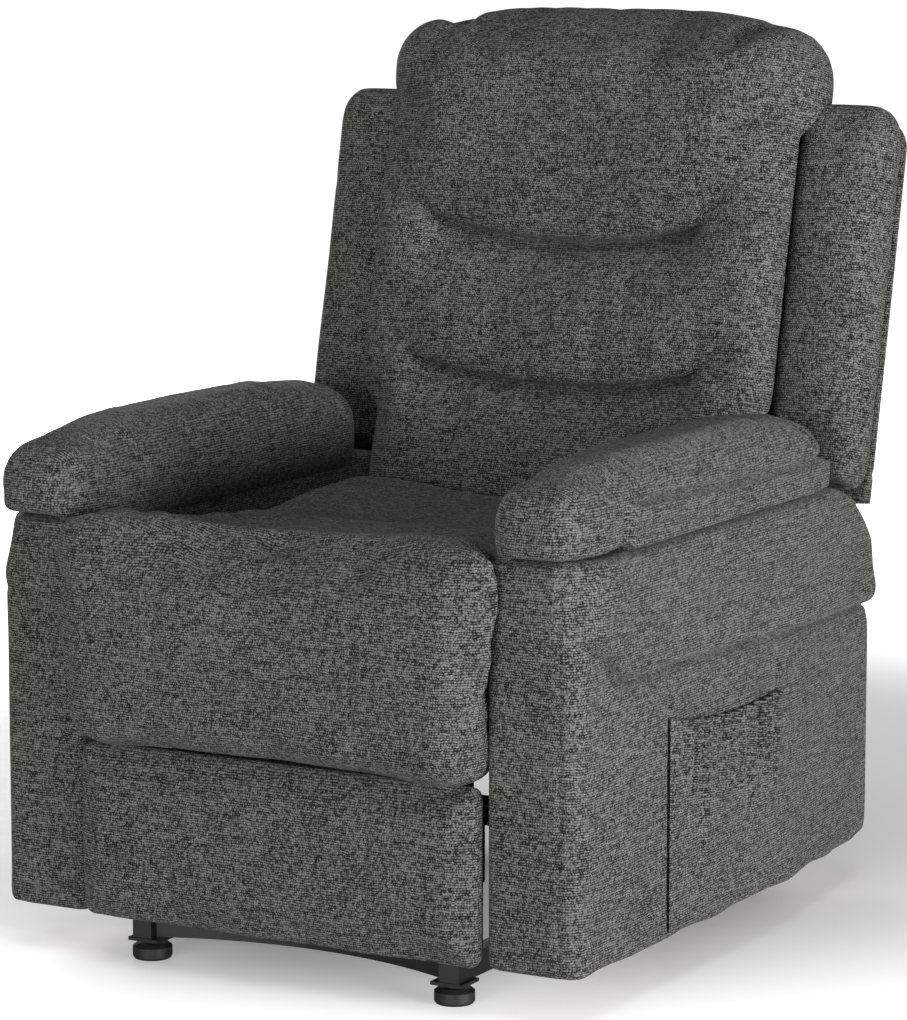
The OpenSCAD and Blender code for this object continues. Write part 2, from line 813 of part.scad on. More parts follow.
// A link with a hole of radius r at each [point, r]
module link(side, plane, holes) {
    color(black_steel) on_side(side) difference() {
        plate(plane) children();
        for (h = holes) x_rod(plane - 1, plane + plate_t + 1, [-h[0][0], h[0][1]], h[1]);
    }
}

module link_a(side) {
    link(side, plane_a, [[piv_a, rivet_r + run], [jnt_ac, rivet_r], [jnt_ad, rivet_r]]) {
        bar2d(piv_a, jnt_ac, link_r);
        bar2d(jnt_ac, jnt_ad, link_r);
    }
}

module link_a_left() { link_a(1); }
module link_a_right() { link_a(-1); }

// Rivets held by links A: C turns on one, D on the other
module link_a_rivets() {
    color(zinc) both_sides() {
        rivet(plane_c, plane_a + plate_t, jnt_ac);
        rivet(plane_d, plane_a + plate_t, jnt_ad);
    }
}

module link_b(side) {
    link(side, plane_b, [[piv_b, rivet_r + run], [jnt_bc, rivet_r + open_run]])
        bar2d(piv_b, jnt_bc, link_r);
}

module link_b_left() { link_b(1); }
module link_b_right() { link_b(-1); }

// Tube that ties links B together across the chair
module torque_tube() {
    mid = (piv_b + jnt_bc) / 2;
    color(black_steel) difference() {
        x_rod(-plane_b, plane_b, [-mid[0], mid[1]], torque_r);
        x_rod(-plane_b + 4, plane_b - 4, [-mid[0], mid[1]], torque_r - 1.5);
    }
}

module link_c(side) {
    link(side, plane_c, [[jnt_ac, rivet_r + run], [jnt_cf, rivet_r], [jnt_bc, rivet_r]]) {
        bar2d(jnt_ac, jnt_cf, link_r);
        bar2d(jnt_ac, jnt_bc, link_r);
    }
}

module link_c_left() { link_c(1); }
module link_c_right() { link_c(-1); }

// Rivets held by links C: the footrest bracket turns on one, link B on the other
module link_c_rivets() {
    color(zinc) both_sides() for (p = [jnt_cf, jnt_bc]) rivet(plane_b, plane_c + plate_t, p);
}

module link_d(side) {
    link(side, plane_d, [[jnt_ad, rivet_r + run], [jnt_df, rivet_r + open_run]])
        bar2d(jnt_ad, jnt_df, link_r);
}

module link_d_left() { link_d(1); }
module link_d_right() { link_d(-1); }

// Rivets held by the footrest brackets, in the holes of links D
module link_d_rivets() {
    color(zinc) both_sides() rivet(plane_d, plane_b + plate_t, jnt_df);
}

// ---- footrest ----

// Bent steel plates between the links and the footrest board
module footrest_brackets() {
    color(black_steel) both_sides() difference() {
        union() {
            plate(plane_b) {
                bar2d(jnt_df, jnt_cf, link_r);
                bar2d(jnt_cf, [board_rear - link_r, jnt_cf[1]], link_r);
                translate([board_rear - 24, panel_top - 110]) square([24, 84]);
            }
            translate([plane_b - flange_w, -board_rear, panel_top - 110]) cube([flange_w + plate_t, 4, 84]);
        }
        x_rod(plane_b - 1, plane_b + plate_t + 1, [-jnt_cf[0], jnt_cf[1]], rivet_r + run);
        x_rod(plane_b - 1, plane_b + plate_t + 1, [-jnt_df[0], jnt_df[1]], rivet_r);
        for (z = screw_z()) translate([plane_b - flange_w / 2, -board_rear - 1, z])
            rotate([-90, 0, 0]) cylinder(h = 6, r = bolt_r);
    }
}

function screw_z() = [panel_top - 96, panel_top - 40];

module footrest_screws() {
    color(zinc) both_sides() for (z = screw_z()) translate([plane_b - flange_w / 2, -board_rear, z])
        rotate([-90, 0, 0]) {
            cylinder(h = 4, r = bolt_r);
            translate([0, 0, 4]) cylinder(h = 2, r = bolt_head_r);
        }
}

module footrest_board() {
    half = panel_w / 2 - board_edge;
    color(timber) translate([-half, -board_rear - board_t, panel_low + board_edge])
        cube([2 * half, board_t, panel_top - panel_low - 2 * board_edge]);
}

// Padded front of the footrest, wrapped round the edges of its board
module footrest_pad() {
    half = panel_w / 2;
    deep = board_t + pad_soft_t - 4;
    color(cloth) difference() {
        across(-half, panel_w) {
            translate([-panel_front, panel_low]) round_rect([deep, panel_top - panel_low], deep / 2 - 1);
            translate([-panel_front + panel_r, panel_low]) square([deep - panel_r, panel_top - panel_low]);
        }
        translate([-half + board_edge, -board_rear - board_t, panel_low + board_edge])
            cube([panel_w - 2 * board_edge, board_t + 1, panel_top - panel_low - 2 * board_edge]);
    }
}

// ---- the parts ----

floor_rail_left();
floor_rail_right();
floor_rail_caps();
front_crossbar();
rear_crossbar();
floor_glides();
chassis_uprights();
seat_side_rails();
seat_cross_rails();
seat_webbing();
seat_cushion();
chassis_plate_left();
chassis_plate_right();
plate_bolts();
chassis_rivets();
arm_frame_left();
arm_frame_right();
arm_cover_left();
arm_cover_right();
arm_pad_left();
arm_pad_right();
arm_brackets();
arm_bolts();
side_pocket();
lever_bezel();
lever_pin();
release_cable();
hinge_brackets();
hinge_pins();
back_posts();
back_rails();
back_webbing();
back_cushion();
head_pillow();
back_wing_left();
back_wing_right();
back_shell();
back_hinge_straps();
back_bolts();
link_a_left();
link_a_right();
link_a_rivets();
link_b_left();
link_b_right();
torque_tube();
link_c_left();
link_c_right();
link_c_rivets();
link_d_left();
link_d_right();
link_d_rivets();
footrest_brackets();
footrest_board();
footrest_pad();
footrest_screws();
release_lever();
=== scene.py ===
import json
import math

import bpy
import numpy as np
from mathutils import Matrix, Vector
from mathutils.bvhtree import BVHTree


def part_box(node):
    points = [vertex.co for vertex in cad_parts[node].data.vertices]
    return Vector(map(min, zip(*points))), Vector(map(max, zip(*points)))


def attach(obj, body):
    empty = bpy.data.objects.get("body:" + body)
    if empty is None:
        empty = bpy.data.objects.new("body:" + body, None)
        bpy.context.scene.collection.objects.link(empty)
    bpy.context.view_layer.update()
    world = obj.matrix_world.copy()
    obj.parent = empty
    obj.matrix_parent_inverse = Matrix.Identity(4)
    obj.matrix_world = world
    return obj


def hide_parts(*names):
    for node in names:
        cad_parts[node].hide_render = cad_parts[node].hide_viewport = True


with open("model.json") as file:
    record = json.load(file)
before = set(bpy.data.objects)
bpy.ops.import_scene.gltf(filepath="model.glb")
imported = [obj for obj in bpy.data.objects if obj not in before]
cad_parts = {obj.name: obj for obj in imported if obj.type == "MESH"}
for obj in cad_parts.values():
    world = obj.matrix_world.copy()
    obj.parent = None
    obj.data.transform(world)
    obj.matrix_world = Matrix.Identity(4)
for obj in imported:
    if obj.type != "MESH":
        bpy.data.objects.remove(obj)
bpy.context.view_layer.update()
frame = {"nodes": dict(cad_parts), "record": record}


# ---- camera ----
# A long lens stands off the sitter's left front corner, a little above the arms,
# and looks at the middle of the chair.

eye = Vector((2.530, -4.492, 1.304))
aim = Vector((0.0, 0.0, 0.5))
lens_data = bpy.data.cameras.new("camera")
lens_data.sensor_fit = "HORIZONTAL"
lens_data.sensor_width = 36.0
lens_data.lens = 174.6
lens_data.shift_x = -0.0080
lens_data.shift_y = -0.0127
camera = bpy.data.objects.new("camera", lens_data)
camera.location = eye
camera.rotation_euler = (aim - eye).to_track_quat("-Z", "Y").to_euler()
bpy.context.scene.collection.objects.link(camera)
bpy.context.scene.camera = camera


# ---- steel floor frame, chassis plates and footrest links ----
# Square tube, flat bar and stamped plate, all powder coated satin black.
# The coat has a fine orange peel and is rubbed thin and grey in small specks.


class Wire:
    """A node's output that can be used in sums; sums add Math nodes."""

    def __init__(self, tree, socket=None):
        self.tree = tree
        self.socket = socket

    def add(self, kind, settings=None, sockets=None, out=0):
        node = self.tree.nodes.new(kind)
        for key, value in (settings or {}).items():
            setattr(node, key, value)
        for key, value in (sockets or {}).items():
            if isinstance(value, Wire):
                self.tree.links.new(value.socket, node.inputs[key])
            else:
                node.inputs[key].default_value = value
        return Wire(self.tree, node.outputs[out])

    def maths(self, operation, *values):
        return self.add("ShaderNodeMath", {"operation": operation}, dict(enumerate(values)))

    def __add__(self, other):
        return self.maths("ADD", self, other)

    def __radd__(self, other):
        return self.maths("ADD", other, self)

    def __mul__(self, other):
        return self.maths("MULTIPLY", self, other)

    def __rmul__(self, other):
        return self.maths("MULTIPLY", other, self)

    def place(self):
        """Points in the piece's own frame, from Texture Coordinate's Object output."""
        return self.add("ShaderNodeTexCoord", out=3)

    def noise(self, scale, detail, at):
        return self.add("ShaderNodeTexNoise", None, {"Scale": scale, "Detail": detail, "Vector": at})

    def band(self, low, high):
        """0 below low, 1 above high, smooth between."""
        settings = {"interpolation_type": "SMOOTHSTEP"}
        return self.add("ShaderNodeMapRange", settings, {"Value": self, "From Min": low, "From Max": high})

    def blend(self, dark, light):
        """One colour at 0, the other at 1."""
        first_colour, second_colour, mixed_colour = 6, 7, 2
        mix = self.add("ShaderNodeMix", {"data_type": "RGBA"}, {"Factor": self}).socket.node
        for spot, colour in ((first_colour, dark), (second_colour, light)):
            if isinstance(colour, Wire):
                self.tree.links.new(colour.socket, mix.inputs[spot])
            else:
                mix.inputs[spot].default_value = (*colour, 1.0)
        return Wire(self.tree, mix.outputs[mixed_colour])


def new_finish(name):
    """An empty material, its shader node and a Wire to build from."""
    finish = bpy.data.materials.new(name)
    finish.use_nodes = True
    tree = finish.node_tree
    shader = tree.nodes["Principled BSDF"]
    return finish, shader, Wire(tree)


def feed(shader, **wires):
    for key, wire in wires.items():
        wire.tree.links.new(wire.socket, shader.inputs[key.replace("_", " ")])


def bump(wire, height, strength, depth):
    return wire.add("ShaderNodeBump", None, {"Strength": strength, "Distance": depth, "Height": height})


def powder_coat():
    finish, shader, start = new_finish("satin_black_coat")
    place = start.place()
    peel = start.noise(900.0, 3.0, place)
    rub = start.noise(70.0, 5.0, place).band(0.64, 0.76)
    feed(
        shader,
        Base_Color=rub.blend((0.006, 0.006, 0.0065), (0.03, 0.03, 0.031)),
        Roughness=0.34 + 0.2 * peel,
        Normal=bump(start, peel, 0.25, 0.0006),
    )
    shader.inputs["Specular IOR Level"].default_value = 0.5
    return finish


def dress(finish, *nodes):
    """Gives CAD nodes a finish in place of the plain one they came with."""
    for node in nodes:
        data = frame["nodes"][node].data
        data.materials.clear()
        data.materials.append(finish)


dress(
    powder_coat(),
    "floor_rail_left", "floor_rail_right", "front_crossbar", "rear_crossbar", "chassis_uprights",
    "chassis_plate_left", "chassis_plate_right", "arm_brackets", "hinge_brackets", "back_hinge_straps",
    "link_a_left", "link_a_right", "link_b_left", "link_b_right", "link_c_left", "link_c_right",
    "link_d_left", "link_d_right", "torque_tube", "footrest_brackets",
)


# ---- rivets, bolts and pins ----
# Bright zinc plated steel: turned rivet heads and low screws with fine swirl marks,
# slightly yellowed and duller in patches.


def zinc_plate():
    finish, shader, start = new_finish("bright_zinc")
    place = start.place()
    patch = start.noise(260.0, 3.0, place)
    swirl = start.noise(2200.0, 1.0, place)
    feed(
        shader,
        Base_Color=patch.band(0.35, 0.7).blend((0.62, 0.62, 0.60), (0.78, 0.77, 0.72)),
        Roughness=0.2 + 0.25 * patch,
        Normal=bump(start, swirl, 0.15, 0.0003),
    )
    shader.inputs["Metallic"].default_value = 1.0
    return finish


dress(
    zinc_plate(),
    "plate_bolts", "chassis_rivets", "arm_bolts", "lever_pin", "hinge_pins", "back_bolts",
    "link_a_rivets", "link_c_rivets", "link_d_rivets", "footrest_screws",
)


# ---- glides, tube plugs and the release lever ----
# Moulded black polypropylene with a fine spark-eroded grain, pressed on stems
# or into the tube ends; the lever turns on a steel pin in its recessed cup.


def moulded_plastic():
    finish, shader, start = new_finish("black_moulding")
    place = start.place()
    grain = start.noise(1500.0, 2.0, place)
    scuff = start.noise(45.0, 6.0, place).band(0.6, 0.8)
    feed(
        shader,
        Base_Color=scuff.blend((0.011, 0.011, 0.012), (0.03, 0.03, 0.031)),
        Roughness=0.42 + 0.22 * grain + 0.1 * scuff,
        Normal=bump(start, grain, 0.35, 0.0004),
    )
    return finish


dress(moulded_plastic(), "floor_rail_caps", "floor_glides", "lever_bezel", "release_lever")


# ---- timber rails, posts and boards ----
# Sawn softwood and plywood, unfinished, with long grain, darker growth bands
# and fibres raised by the saw. All of it is inside or under the upholstery.


def sawn_timber():
    finish, shader, start = new_finish("sawn_timber")
    place = start.place()
    turned = start.add("ShaderNodeMapping", None, {"Vector": place, "Scale": (3.0, 3.0, 40.0)})
    growth = start.noise(4.0, 6.0, turned)
    fibre = start.add("ShaderNodeMapping", None, {"Vector": place, "Scale": (30.0, 30.0, 700.0)})
    saw = start.noise(3.0, 3.0, fibre)
    feed(
        shader,
        Base_Color=growth.band(0.3, 0.7).blend((0.33, 0.20, 0.10), (0.58, 0.42, 0.24)),
        Roughness=0.62 + 0.2 * saw,
        Normal=bump(start, saw, 0.4, 0.0008),
    )
    return finish


dress(
    sawn_timber(),
    "seat_side_rails", "seat_cross_rails", "arm_frame_left", "arm_frame_right",
    "back_posts", "back_rails", "footrest_board",
)


# ---- seat and back straps, release cable ----
# Black elastic strap with a ribbed weave, stapled to the timber under the cushions.
# The cable's sleeve has the same black.


def ribbed_strap():
    finish, shader, start = new_finish("ribbed_strap")
    place = start.place()
    axes = start.add("ShaderNodeSeparateXYZ", None, {"Vector": place})
    across = axes.maths("SINE", axes * 2400.0) * 0.5 + 0.5
    fuzz = start.noise(1200.0, 2.0, place)
    feed(
        shader,
        Base_Color=across.blend((0.018, 0.018, 0.018), (0.05, 0.05, 0.05)),
        Roughness=0.75 + 0.2 * fuzz,
        Normal=bump(start, across + 0.4 * fuzz, 0.5, 0.0008),
    )
    return finish


dress(ribbed_strap(), "seat_webbing", "back_webbing", "release_cable")


# ---- footrest pad ----
# A foam sheet over the footrest board in a sewn cloth cover. The cover has a crowned
# face, two upright seams at a quarter and three quarters of its width, and turned edges.


def heather_cloth():
    """Coarse chenille: rows of knobbly yarn, each knot its own grey; the gaps between the knots are painted
    darker as shade.
    """
    row_pitch = 0.0029
    knot_pitch = 0.0030
    finish, shader, start = new_finish("charcoal_chenille")
    weave = start.add("ShaderNodeUVMap", {"uv_map": "weave"})
    place = start.place()
    along = start.add("ShaderNodeSeparateXYZ", None, {"Vector": weave})
    up = Wire(along.tree, along.socket.node.outputs[1])
    wander = start.noise(95.0, 2.0, place)
    row = up * (1 / row_pitch) + 1.3 * wander
    row_number = row.maths("FLOOR", row)
    row_seed = start.add("ShaderNodeTexWhiteNoise", {"noise_dimensions": "1D"}, {"W": row_number})
    step = along * (1 / knot_pitch) + 11.0 * row_seed + 1.7 * wander
    step_number = step.maths("FLOOR", step)
    cell = start.add("ShaderNodeCombineXYZ", None, {"X": step_number, "Y": row_number, "Z": 0.0})
    knot_seed = start.add("ShaderNodeTexWhiteNoise", {"noise_dimensions": "3D"}, {"Vector": cell})
    roll = row.maths("ABSOLUTE", row.maths("SINE", row * math.pi))
    knot = step.maths("ABSOLUTE", step.maths("SINE", step * math.pi))
    knuckle = roll * (0.35 + 0.65 * knot)
    fluff = start.noise(700.0, 3.0, place)
    speck = start.noise(460.0, 2.0, place)
    streak_place = start.add("ShaderNodeMapping", None, {"Vector": weave, "Scale": (26.0, 210.0, 1.0)})
    streak = start.noise(1.0, 3.0, streak_place)
    cloud = start.noise(9.0, 3.0, place)
    height = knuckle * 0.8 + knot_seed * 0.25 + fluff * 0.5
    # Lighter on the knot crowns and darker in the gaps between them is painted shade; the knot greys,
    # specks, streaks and clouds are the yarn's own tone.
    tone_and_gap_shade = knuckle * 0.48 + knot_seed * 0.34 + speck * 1.05 + streak * 0.40 + cloud * 0.12
    shade = tone_and_gap_shade.band(0.91, 1.56)
    warm = fluff.band(0.4, 0.6).blend((0.205, 0.206, 0.193), (0.182, 0.184, 0.172))
    feed(
        shader,
        Base_Color=shade.blend((0.0045, 0.0045, 0.0042), warm),
        Roughness=0.84 + 0.14 * fluff,
        Normal=bump(start, height, 0.7, 0.0014),
    )
    shader.inputs["Specular IOR Level"].default_value = 0.2
    shader.inputs["Sheen Weight"].default_value = 0.06
    shader.inputs["Sheen Roughness"].default_value = 0.5
    return finish


chenille = heather_cloth()


def ease(value):
    value = np.clip(value, 0.0, 1.0)
    return value * value * (3.0 - 2.0 * value)


def bell(value, width):
    return np.exp(-((value / width) ** 2))


def quads_of(grid):
    """Faces between the neighbours in a grid of point numbers."""
    return np.stack([grid[:-1, :-1], grid[1:, :-1], grid[1:, 1:], grid[:-1, 1:]], -1).reshape(-1, 4)


def block(low, high, radius, step):
    """Points and faces of a box with round edges; radius may be one number or three."""
    low, high = np.array(low, float), np.array(high, float)
    radius = np.minimum(np.broadcast_to(radius, 3).astype(float), (high - low) / 2 - 1e-4)
    lines = []
    for a in range(3):
        count = max(2, int(math.ceil((high[a] - low[a] - 2 * radius[a]) / step)))
        turn = np.tan(np.linspace(0.0, math.pi / 4, max(2, int(radius[a] / step) + 2)))[1:] * radius[a]
        middle = np.linspace(low[a] + radius[a], high[a] - radius[a], count + 1)
        lines.append(np.concatenate([(middle[0] - turn)[::-1], middle, middle[-1] + turn]))
    sizes = [len(line) for line in lines]
    grid = np.stack(np.meshgrid(*lines, indexing="ij"), -1)
    index = np.arange(np.prod(sizes)).reshape(sizes)
    faces = []
    for a in range(3):
        b, c = (a + 1) % 3, (a + 2) % 3
        for end in (0, sizes[a] - 1):
            sheet = np.take(index, end, axis=a)
            if b > c:
                sheet = sheet.T
            quad = quads_of(sheet)
            faces.append(quad if end else quad[:, ::-1])
    faces = np.concatenate(faces)
    used = np.unique(faces)
    renumber = np.full(index.size, -1)
    renumber[used] = np.arange(len(used))
    points = grid.reshape(-1, 3)[used]
    core = np.clip(points, low + radius, high - radius)
    away = (points - core) / np.maximum(radius, 1e-9)
    length = np.linalg.norm(away, axis=1)[:, None]
    points = core + away / np.maximum(length, 1e-9) * radius * (length > 1e-9)
    return points, renumber[faces]


def solid(name, parts):
    """A mesh object from (points, faces) parts."""
    points = np.concatenate([p for p, _ in parts])
    offsets = np.cumsum([0] + [len(p) for p, _ in parts[:-1]])
    faces = [tuple(int(i) for i in face) for (_, f), start in zip(parts, offsets) for face in f + start]
    data = bpy.data.meshes.new(name)
    data.from_pydata(points.tolist(), [], faces)
    data.update()
    piece = bpy.data.objects.new(name, data)
    bpy.context.scene.collection.objects.link(piece)
    return piece


def settle(piece):
    """Applies the modifiers on a piece and leaves a plain mesh."""
    bpy.context.view_layer.update()
    evaluated = piece.evaluated_get(bpy.context.evaluated_depsgraph_get())
    data = bpy.data.meshes.new_from_object(evaluated)
    piece.modifiers.clear()
    old = piece.data
    piece.data = data
    bpy.data.meshes.remove(old)
    return piece


def fused(name, parts, voxel, smooth):
    """Overlapping blocks grown into one skin and relaxed."""
    piece = solid(name, parts)
    skin = piece.modifiers.new("skin", "REMESH")
    skin.mode = "VOXEL"
    skin.voxel_size = voxel
    relax = piece.modifiers.new("relax", "SMOOTH")
    relax.factor = 0.5
    relax.iterations = smooth
    return settle(piece)


def points_of(piece):
    data = piece.data
    points = np.empty(len(data.vertices) * 3)
    data.vertices.foreach_get("co", points)
    normals = np.empty(len(data.vertices) * 3)
    data.vertices.foreach_get("normal", normals)
    return points.reshape(-1, 3), normals.reshape(-1, 3)


def put_points(piece, points):
    piece.data.vertices.foreach_set("co", points.ravel())
    piece.data.update()


def inflate(piece, held, pressure=4.0, cap=0.024, slack=0.0):
    """Blows a closed skin up as cloth. held is 0 to 1 for each point, 1 where it is sewn down."""
    before, _ = points_of(piece)
    group = piece.vertex_groups.new(name="held")
    levels, last_frame = 10, 20
    for level in range(1, levels + 1):
        chosen = np.nonzero(np.round(held * levels) == level)[0]
        if len(chosen):
            group.add([int(i) for i in chosen], level / levels, "REPLACE")
    cloth = piece.modifiers.new("cloth", "CLOTH")
    settings = cloth.settings
    settings.quality = 5
    settings.mass = 0.35
    settings.tension_stiffness = 18.0
    settings.compression_stiffness = 12.0
    settings.shear_stiffness = 8.0
    settings.bending_stiffness = 1.2
    settings.use_pressure = True
    settings.uniform_pressure_force = pressure
    settings.shrink_min = -slack
    settings.vertex_group_mass = "held"
    settings.pin_stiffness = 1.0
    settings.effector_weights.gravity = 0.0
    cloth.collision_settings.use_collision = False
    scene = bpy.context.scene
    for number in range(1, last_frame + 1):
        scene.frame_set(number)
    settle(piece)
    piece.vertex_groups.clear()
    after, _ = points_of(piece)
    move = after - before
    length = np.linalg.norm(move, axis=1)[:, None]
    put_points(piece, before + move * np.minimum(1.0, cap / np.maximum(length, 1e-9)))
    scene.frame_set(1)
    return piece


def finer(piece):
    """One step of subdivision, made real."""
    step = piece.modifiers.new("finer", "SUBSURF")
    step.levels = step.render_levels = 1
    return settle(piece)


def weave_map(piece, turn=None, facing=None):
    """Lays the cloth's rows level: a face takes its map from the way it looks, in the piece's own frame."""
    data = piece.data
    points, _ = points_of(piece)
    turn = np.eye(3) if turn is None else np.array(turn)
    local = points @ turn
    normals = np.empty(len(data.polygons) * 3)
    data.polygons.foreach_get("normal", normals)
    normals = np.abs(normals.reshape(-1, 3) @ turn)
    totals = np.empty(len(data.polygons), int)
    data.polygons.foreach_get("loop_total", totals)
    corner = np.empty(len(data.loops), int)
    data.loops.foreach_get("vertex_index", corner)
    facing = np.repeat(normals.argmax(1), totals) if facing is None else facing
    where = local[corner]
    along = np.where(facing == 0, where[:, 1], where[:, 0])
    up = np.where(facing == 2, where[:, 1], where[:, 2])
    layer = data.uv_layers.new(name="weave")
    layer.data.foreach_set("uv", np.stack([along, up], -1).ravel())


def finished(piece, finish, body, turn=None, facing=None):
    """The last steps for every soft piece: smooth faces, weave, finish, and the body it rides on."""
    piece.data.polygons.foreach_set("use_smooth", [True] * len(piece.data.polygons))
    weave_map(piece, turn, facing)
    piece.data.materials.clear()
    piece.data.materials.append(finish)
    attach(piece, body)
    return piece


def corners(node):
    """A node's lowest and highest corners."""
    return (np.array(corner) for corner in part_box(node))


pad_low, pad_high = corners("footrest_pad")
pad_seam = 0.25 * (pad_high[0] - pad_low[0])
footrest = solid("footrest_cover", [block(
    pad_low + (-0.001, 0.003, 0.002), pad_high + (0.001, 0.0, 0.006),
    radius=(0.010, 0.016, 0.018), step=0.007,
)])
rest_points, _ = points_of(footrest)
rest_held = ease((rest_points[:, 1] - (pad_low[1] + 0.012)) / 0.012)
inflate(footrest, rest_held, pressure=3.0, cap=0.006)
finer(footrest)

# Here and below, p and n are a piece's points and the ways its skin looks.
seam_wide, seam_deep, dimple_pitch = 0.0035, 0.0028, 0.021
p, n = points_of(footrest)
face = ease(-n[:, 1] * 1.6)
for side in (-1, 1):
    groove = bell(np.abs(p[:, 0] - side * pad_seam), seam_wide) * seam_deep
    dimple = 0.6 + 0.4 * np.sin(p[:, 2] * 2 * math.pi / dimple_pitch + side)
    p += n * (-groove * face * dimple)[:, None]
low_pull = 0.004 * bell(p[:, 2] - pad_low[2] - 0.012, 0.03) * np.sin(p[:, 0] * 41.0) * face
p[:, 1] += low_pull
put_points(footrest, p)
finished(footrest, chenille, "footrest")
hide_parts("footrest_pad")


# ---- stitches on the footrest seams ----
# Dull black thread in each upright seam, one short stitch every 7 mm.
# The thread sits a hair above the cloth and follows it.


def thread_finish():
    finish, shader, start = new_finish("seam_thread")
    place = start.place()
    twist = start.noise(1800.0, 1.0, place)
    feed(
        shader,
        Base_Color=twist.blend((0.03, 0.03, 0.029), (0.11, 0.11, 0.105)),
        Roughness=0.6 + 0.3 * twist,
        Normal=bump(start, twist, 0.4, 0.0003),
    )
    return finish


seam_thread = thread_finish()


def stitch_tree():
    """Stitches along a path: inputs are the path, the pitch, the stitch length and the thread's radius."""
    tree = bpy.data.node_groups.new("stitches", "GeometryNodeTree")
    face_in = tree.interface
    face_in.new_socket("Path", in_out="INPUT", socket_type="NodeSocketGeometry")
    for label, value in (("Pitch", 0.007), ("Length", 0.0045), ("Thread", 0.0006)):
        face_in.new_socket(label, in_out="INPUT", socket_type="NodeSocketFloat").default_value = value
    face_in.new_socket("Stitches", in_out="OUTPUT", socket_type="NodeSocketGeometry")

    def node(kind, settings=None, links=None):
        made = tree.nodes.new(kind)
        for key, value in (settings or {}).items():
            setattr(made, key, value)
        for key, source in (links or {}).items():
            if hasattr(source, "is_output"):
                tree.links.new(source, made.inputs[key])
            else:
                made.inputs[key].default_value = source
        return made

    start = node("NodeGroupInput")
    end = node("NodeGroupOutput")
    curve = node("GeometryNodeMeshToCurve", None, {"Mesh": start.outputs["Path"]})
    spaced = node("GeometryNodeResampleCurve", {"mode": "LENGTH"},
                  {"Curve": curve.outputs[0], "Length": start.outputs["Pitch"]})
    tangent = node("GeometryNodeInputTangent")
    turned = node("FunctionNodeAlignEulerToVector", {"axis": "Z"}, {"Vector": tangent.outputs[0]})
    thread = node("GeometryNodeMeshCylinder", None, {"Vertices": 6, "Radius": start.outputs["Thread"],
                                                     "Depth": start.outputs["Length"]})
    laid = node("GeometryNodeInstanceOnPoints", None, {"Points": spaced.outputs[0],
                                                       "Instance": thread.outputs[0],
                                                       "Rotation": turned.outputs[0]})
    real = node("GeometryNodeRealizeInstances", None, {"Geometry": laid.outputs[0]})
    dyed = node("GeometryNodeSetMaterial", {}, {"Geometry": real.outputs[0]})
    dyed.inputs["Material"].default_value = seam_thread
    tree.links.new(dyed.outputs[0], end.inputs[0])
    return tree


stitches = stitch_tree()


def sew(name, body, paths, pitch=0.007):
    """One mesh of stitches along several paths of points."""
    points = [tuple(q) for path in paths for q in path]
    edges, first = [], 0
    for path in paths:
        edges += [(first + i, first + i + 1) for i in range(len(path) - 1)]
        first += len(path)
    data = bpy.data.meshes.new(name)
    data.from_pydata(points, edges, [])
    piece = bpy.data.objects.new(name, data)
    bpy.context.scene.collection.objects.link(piece)
    modifier = piece.modifiers.new("stitches", "NODES")
    modifier.node_group = stitches
    for item in stitches.interface.items_tree:
        if item.name == "Pitch":
            modifier[item.identifier] = pitch
    settle(piece)
    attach(piece, body)
    return piece


def on_skin(piece, starts, direction, lift=0.0004):
    """Drops points onto a piece's skin along a direction and lifts them a hair off it."""
    points, _ = points_of(piece)
    tree = BVHTree.FromPolygons(points.tolist(), [tuple(face.vertices) for face in piece.data.polygons])
    way = Vector(direction).normalized()
    landed = []
    for start in starts:
        hit, normal, _, _ = tree.ray_cast(Vector(start), way)
        if hit is not None:
            landed.append(hit + normal * lift)
    return landed


def upright_paths(piece, front, low, high):
    """Two paths up a piece's front face, one along each upright seam."""
    columns = ([(side * pad_seam, front - 0.1, z) for z in np.linspace(low, high, 40)] for side in (-1, 1))
    return [on_skin(piece, column, (0, 1, 0)) for column in columns]


rest_paths = upright_paths(footrest, pad_low[1], pad_low[2] + 0.012, pad_high[2] - 0.02)
sew("footrest_stitches", "footrest", rest_paths)


# ---- seat cushion ----
# Foam and fibre in one sewn cover: a deck that dips where the sitter sits and a tall roll
# that falls over the front rail. The roll has two faint upright seams, like the footrest.

seat_low, seat_high = corners("seat_cushion")
seat_half, seat_front, seat_rear = seat_high[0], seat_low[1], seat_high[1]
seat_bottom, seat_crest = seat_low[2], seat_high[2]
deck_half = seat_half - 0.012
deck_drop = 0.026
roll_back = seat_front + 0.095
deck = block(
    (-deck_half, seat_front + 0.05, seat_crest - 0.165),
    (deck_half, seat_rear - 0.004, seat_crest - deck_drop),
    radius=(0.035, 0.045, 0.045), step=0.012,
)
roll = block(
    (seat_low[0] + 0.002, seat_front + 0.002, seat_bottom - 0.005),
    (seat_half - 0.002, roll_back, seat_crest - 0.008),
    radius=(0.05, 0.040, 0.030), step=0.010,
)
under = block(
    (-deck_half + 0.01, seat_front + 0.08, seat_bottom + 0.088),
    (deck_half - 0.01, seat_rear - 0.02, seat_crest - 0.1),
    radius=(0.02, 0.02, 0.02), step=0.012,
)
seat = fused("seat_cover", [deck, roll, under], voxel=0.009, smooth=9)
p, n = points_of(seat)
held_under = ease((seat_bottom + 0.1 - p[:, 2]) / 0.02) * ease((p[:, 1] - roll_back) / 0.02)
held_rear = ease((p[:, 1] - seat_rear + 0.03) / 0.03)
held_side = ease((np.abs(p[:, 0]) - deck_half + 0.008) / 0.006) * ease((p[:, 1] - seat_front - 0.1) / 0.05)
seat_held = np.maximum(np.maximum(held_under, held_rear), held_side)
inflate(seat, seat_held, pressure=4.0, cap=0.014, slack=0.02)
finer(seat)

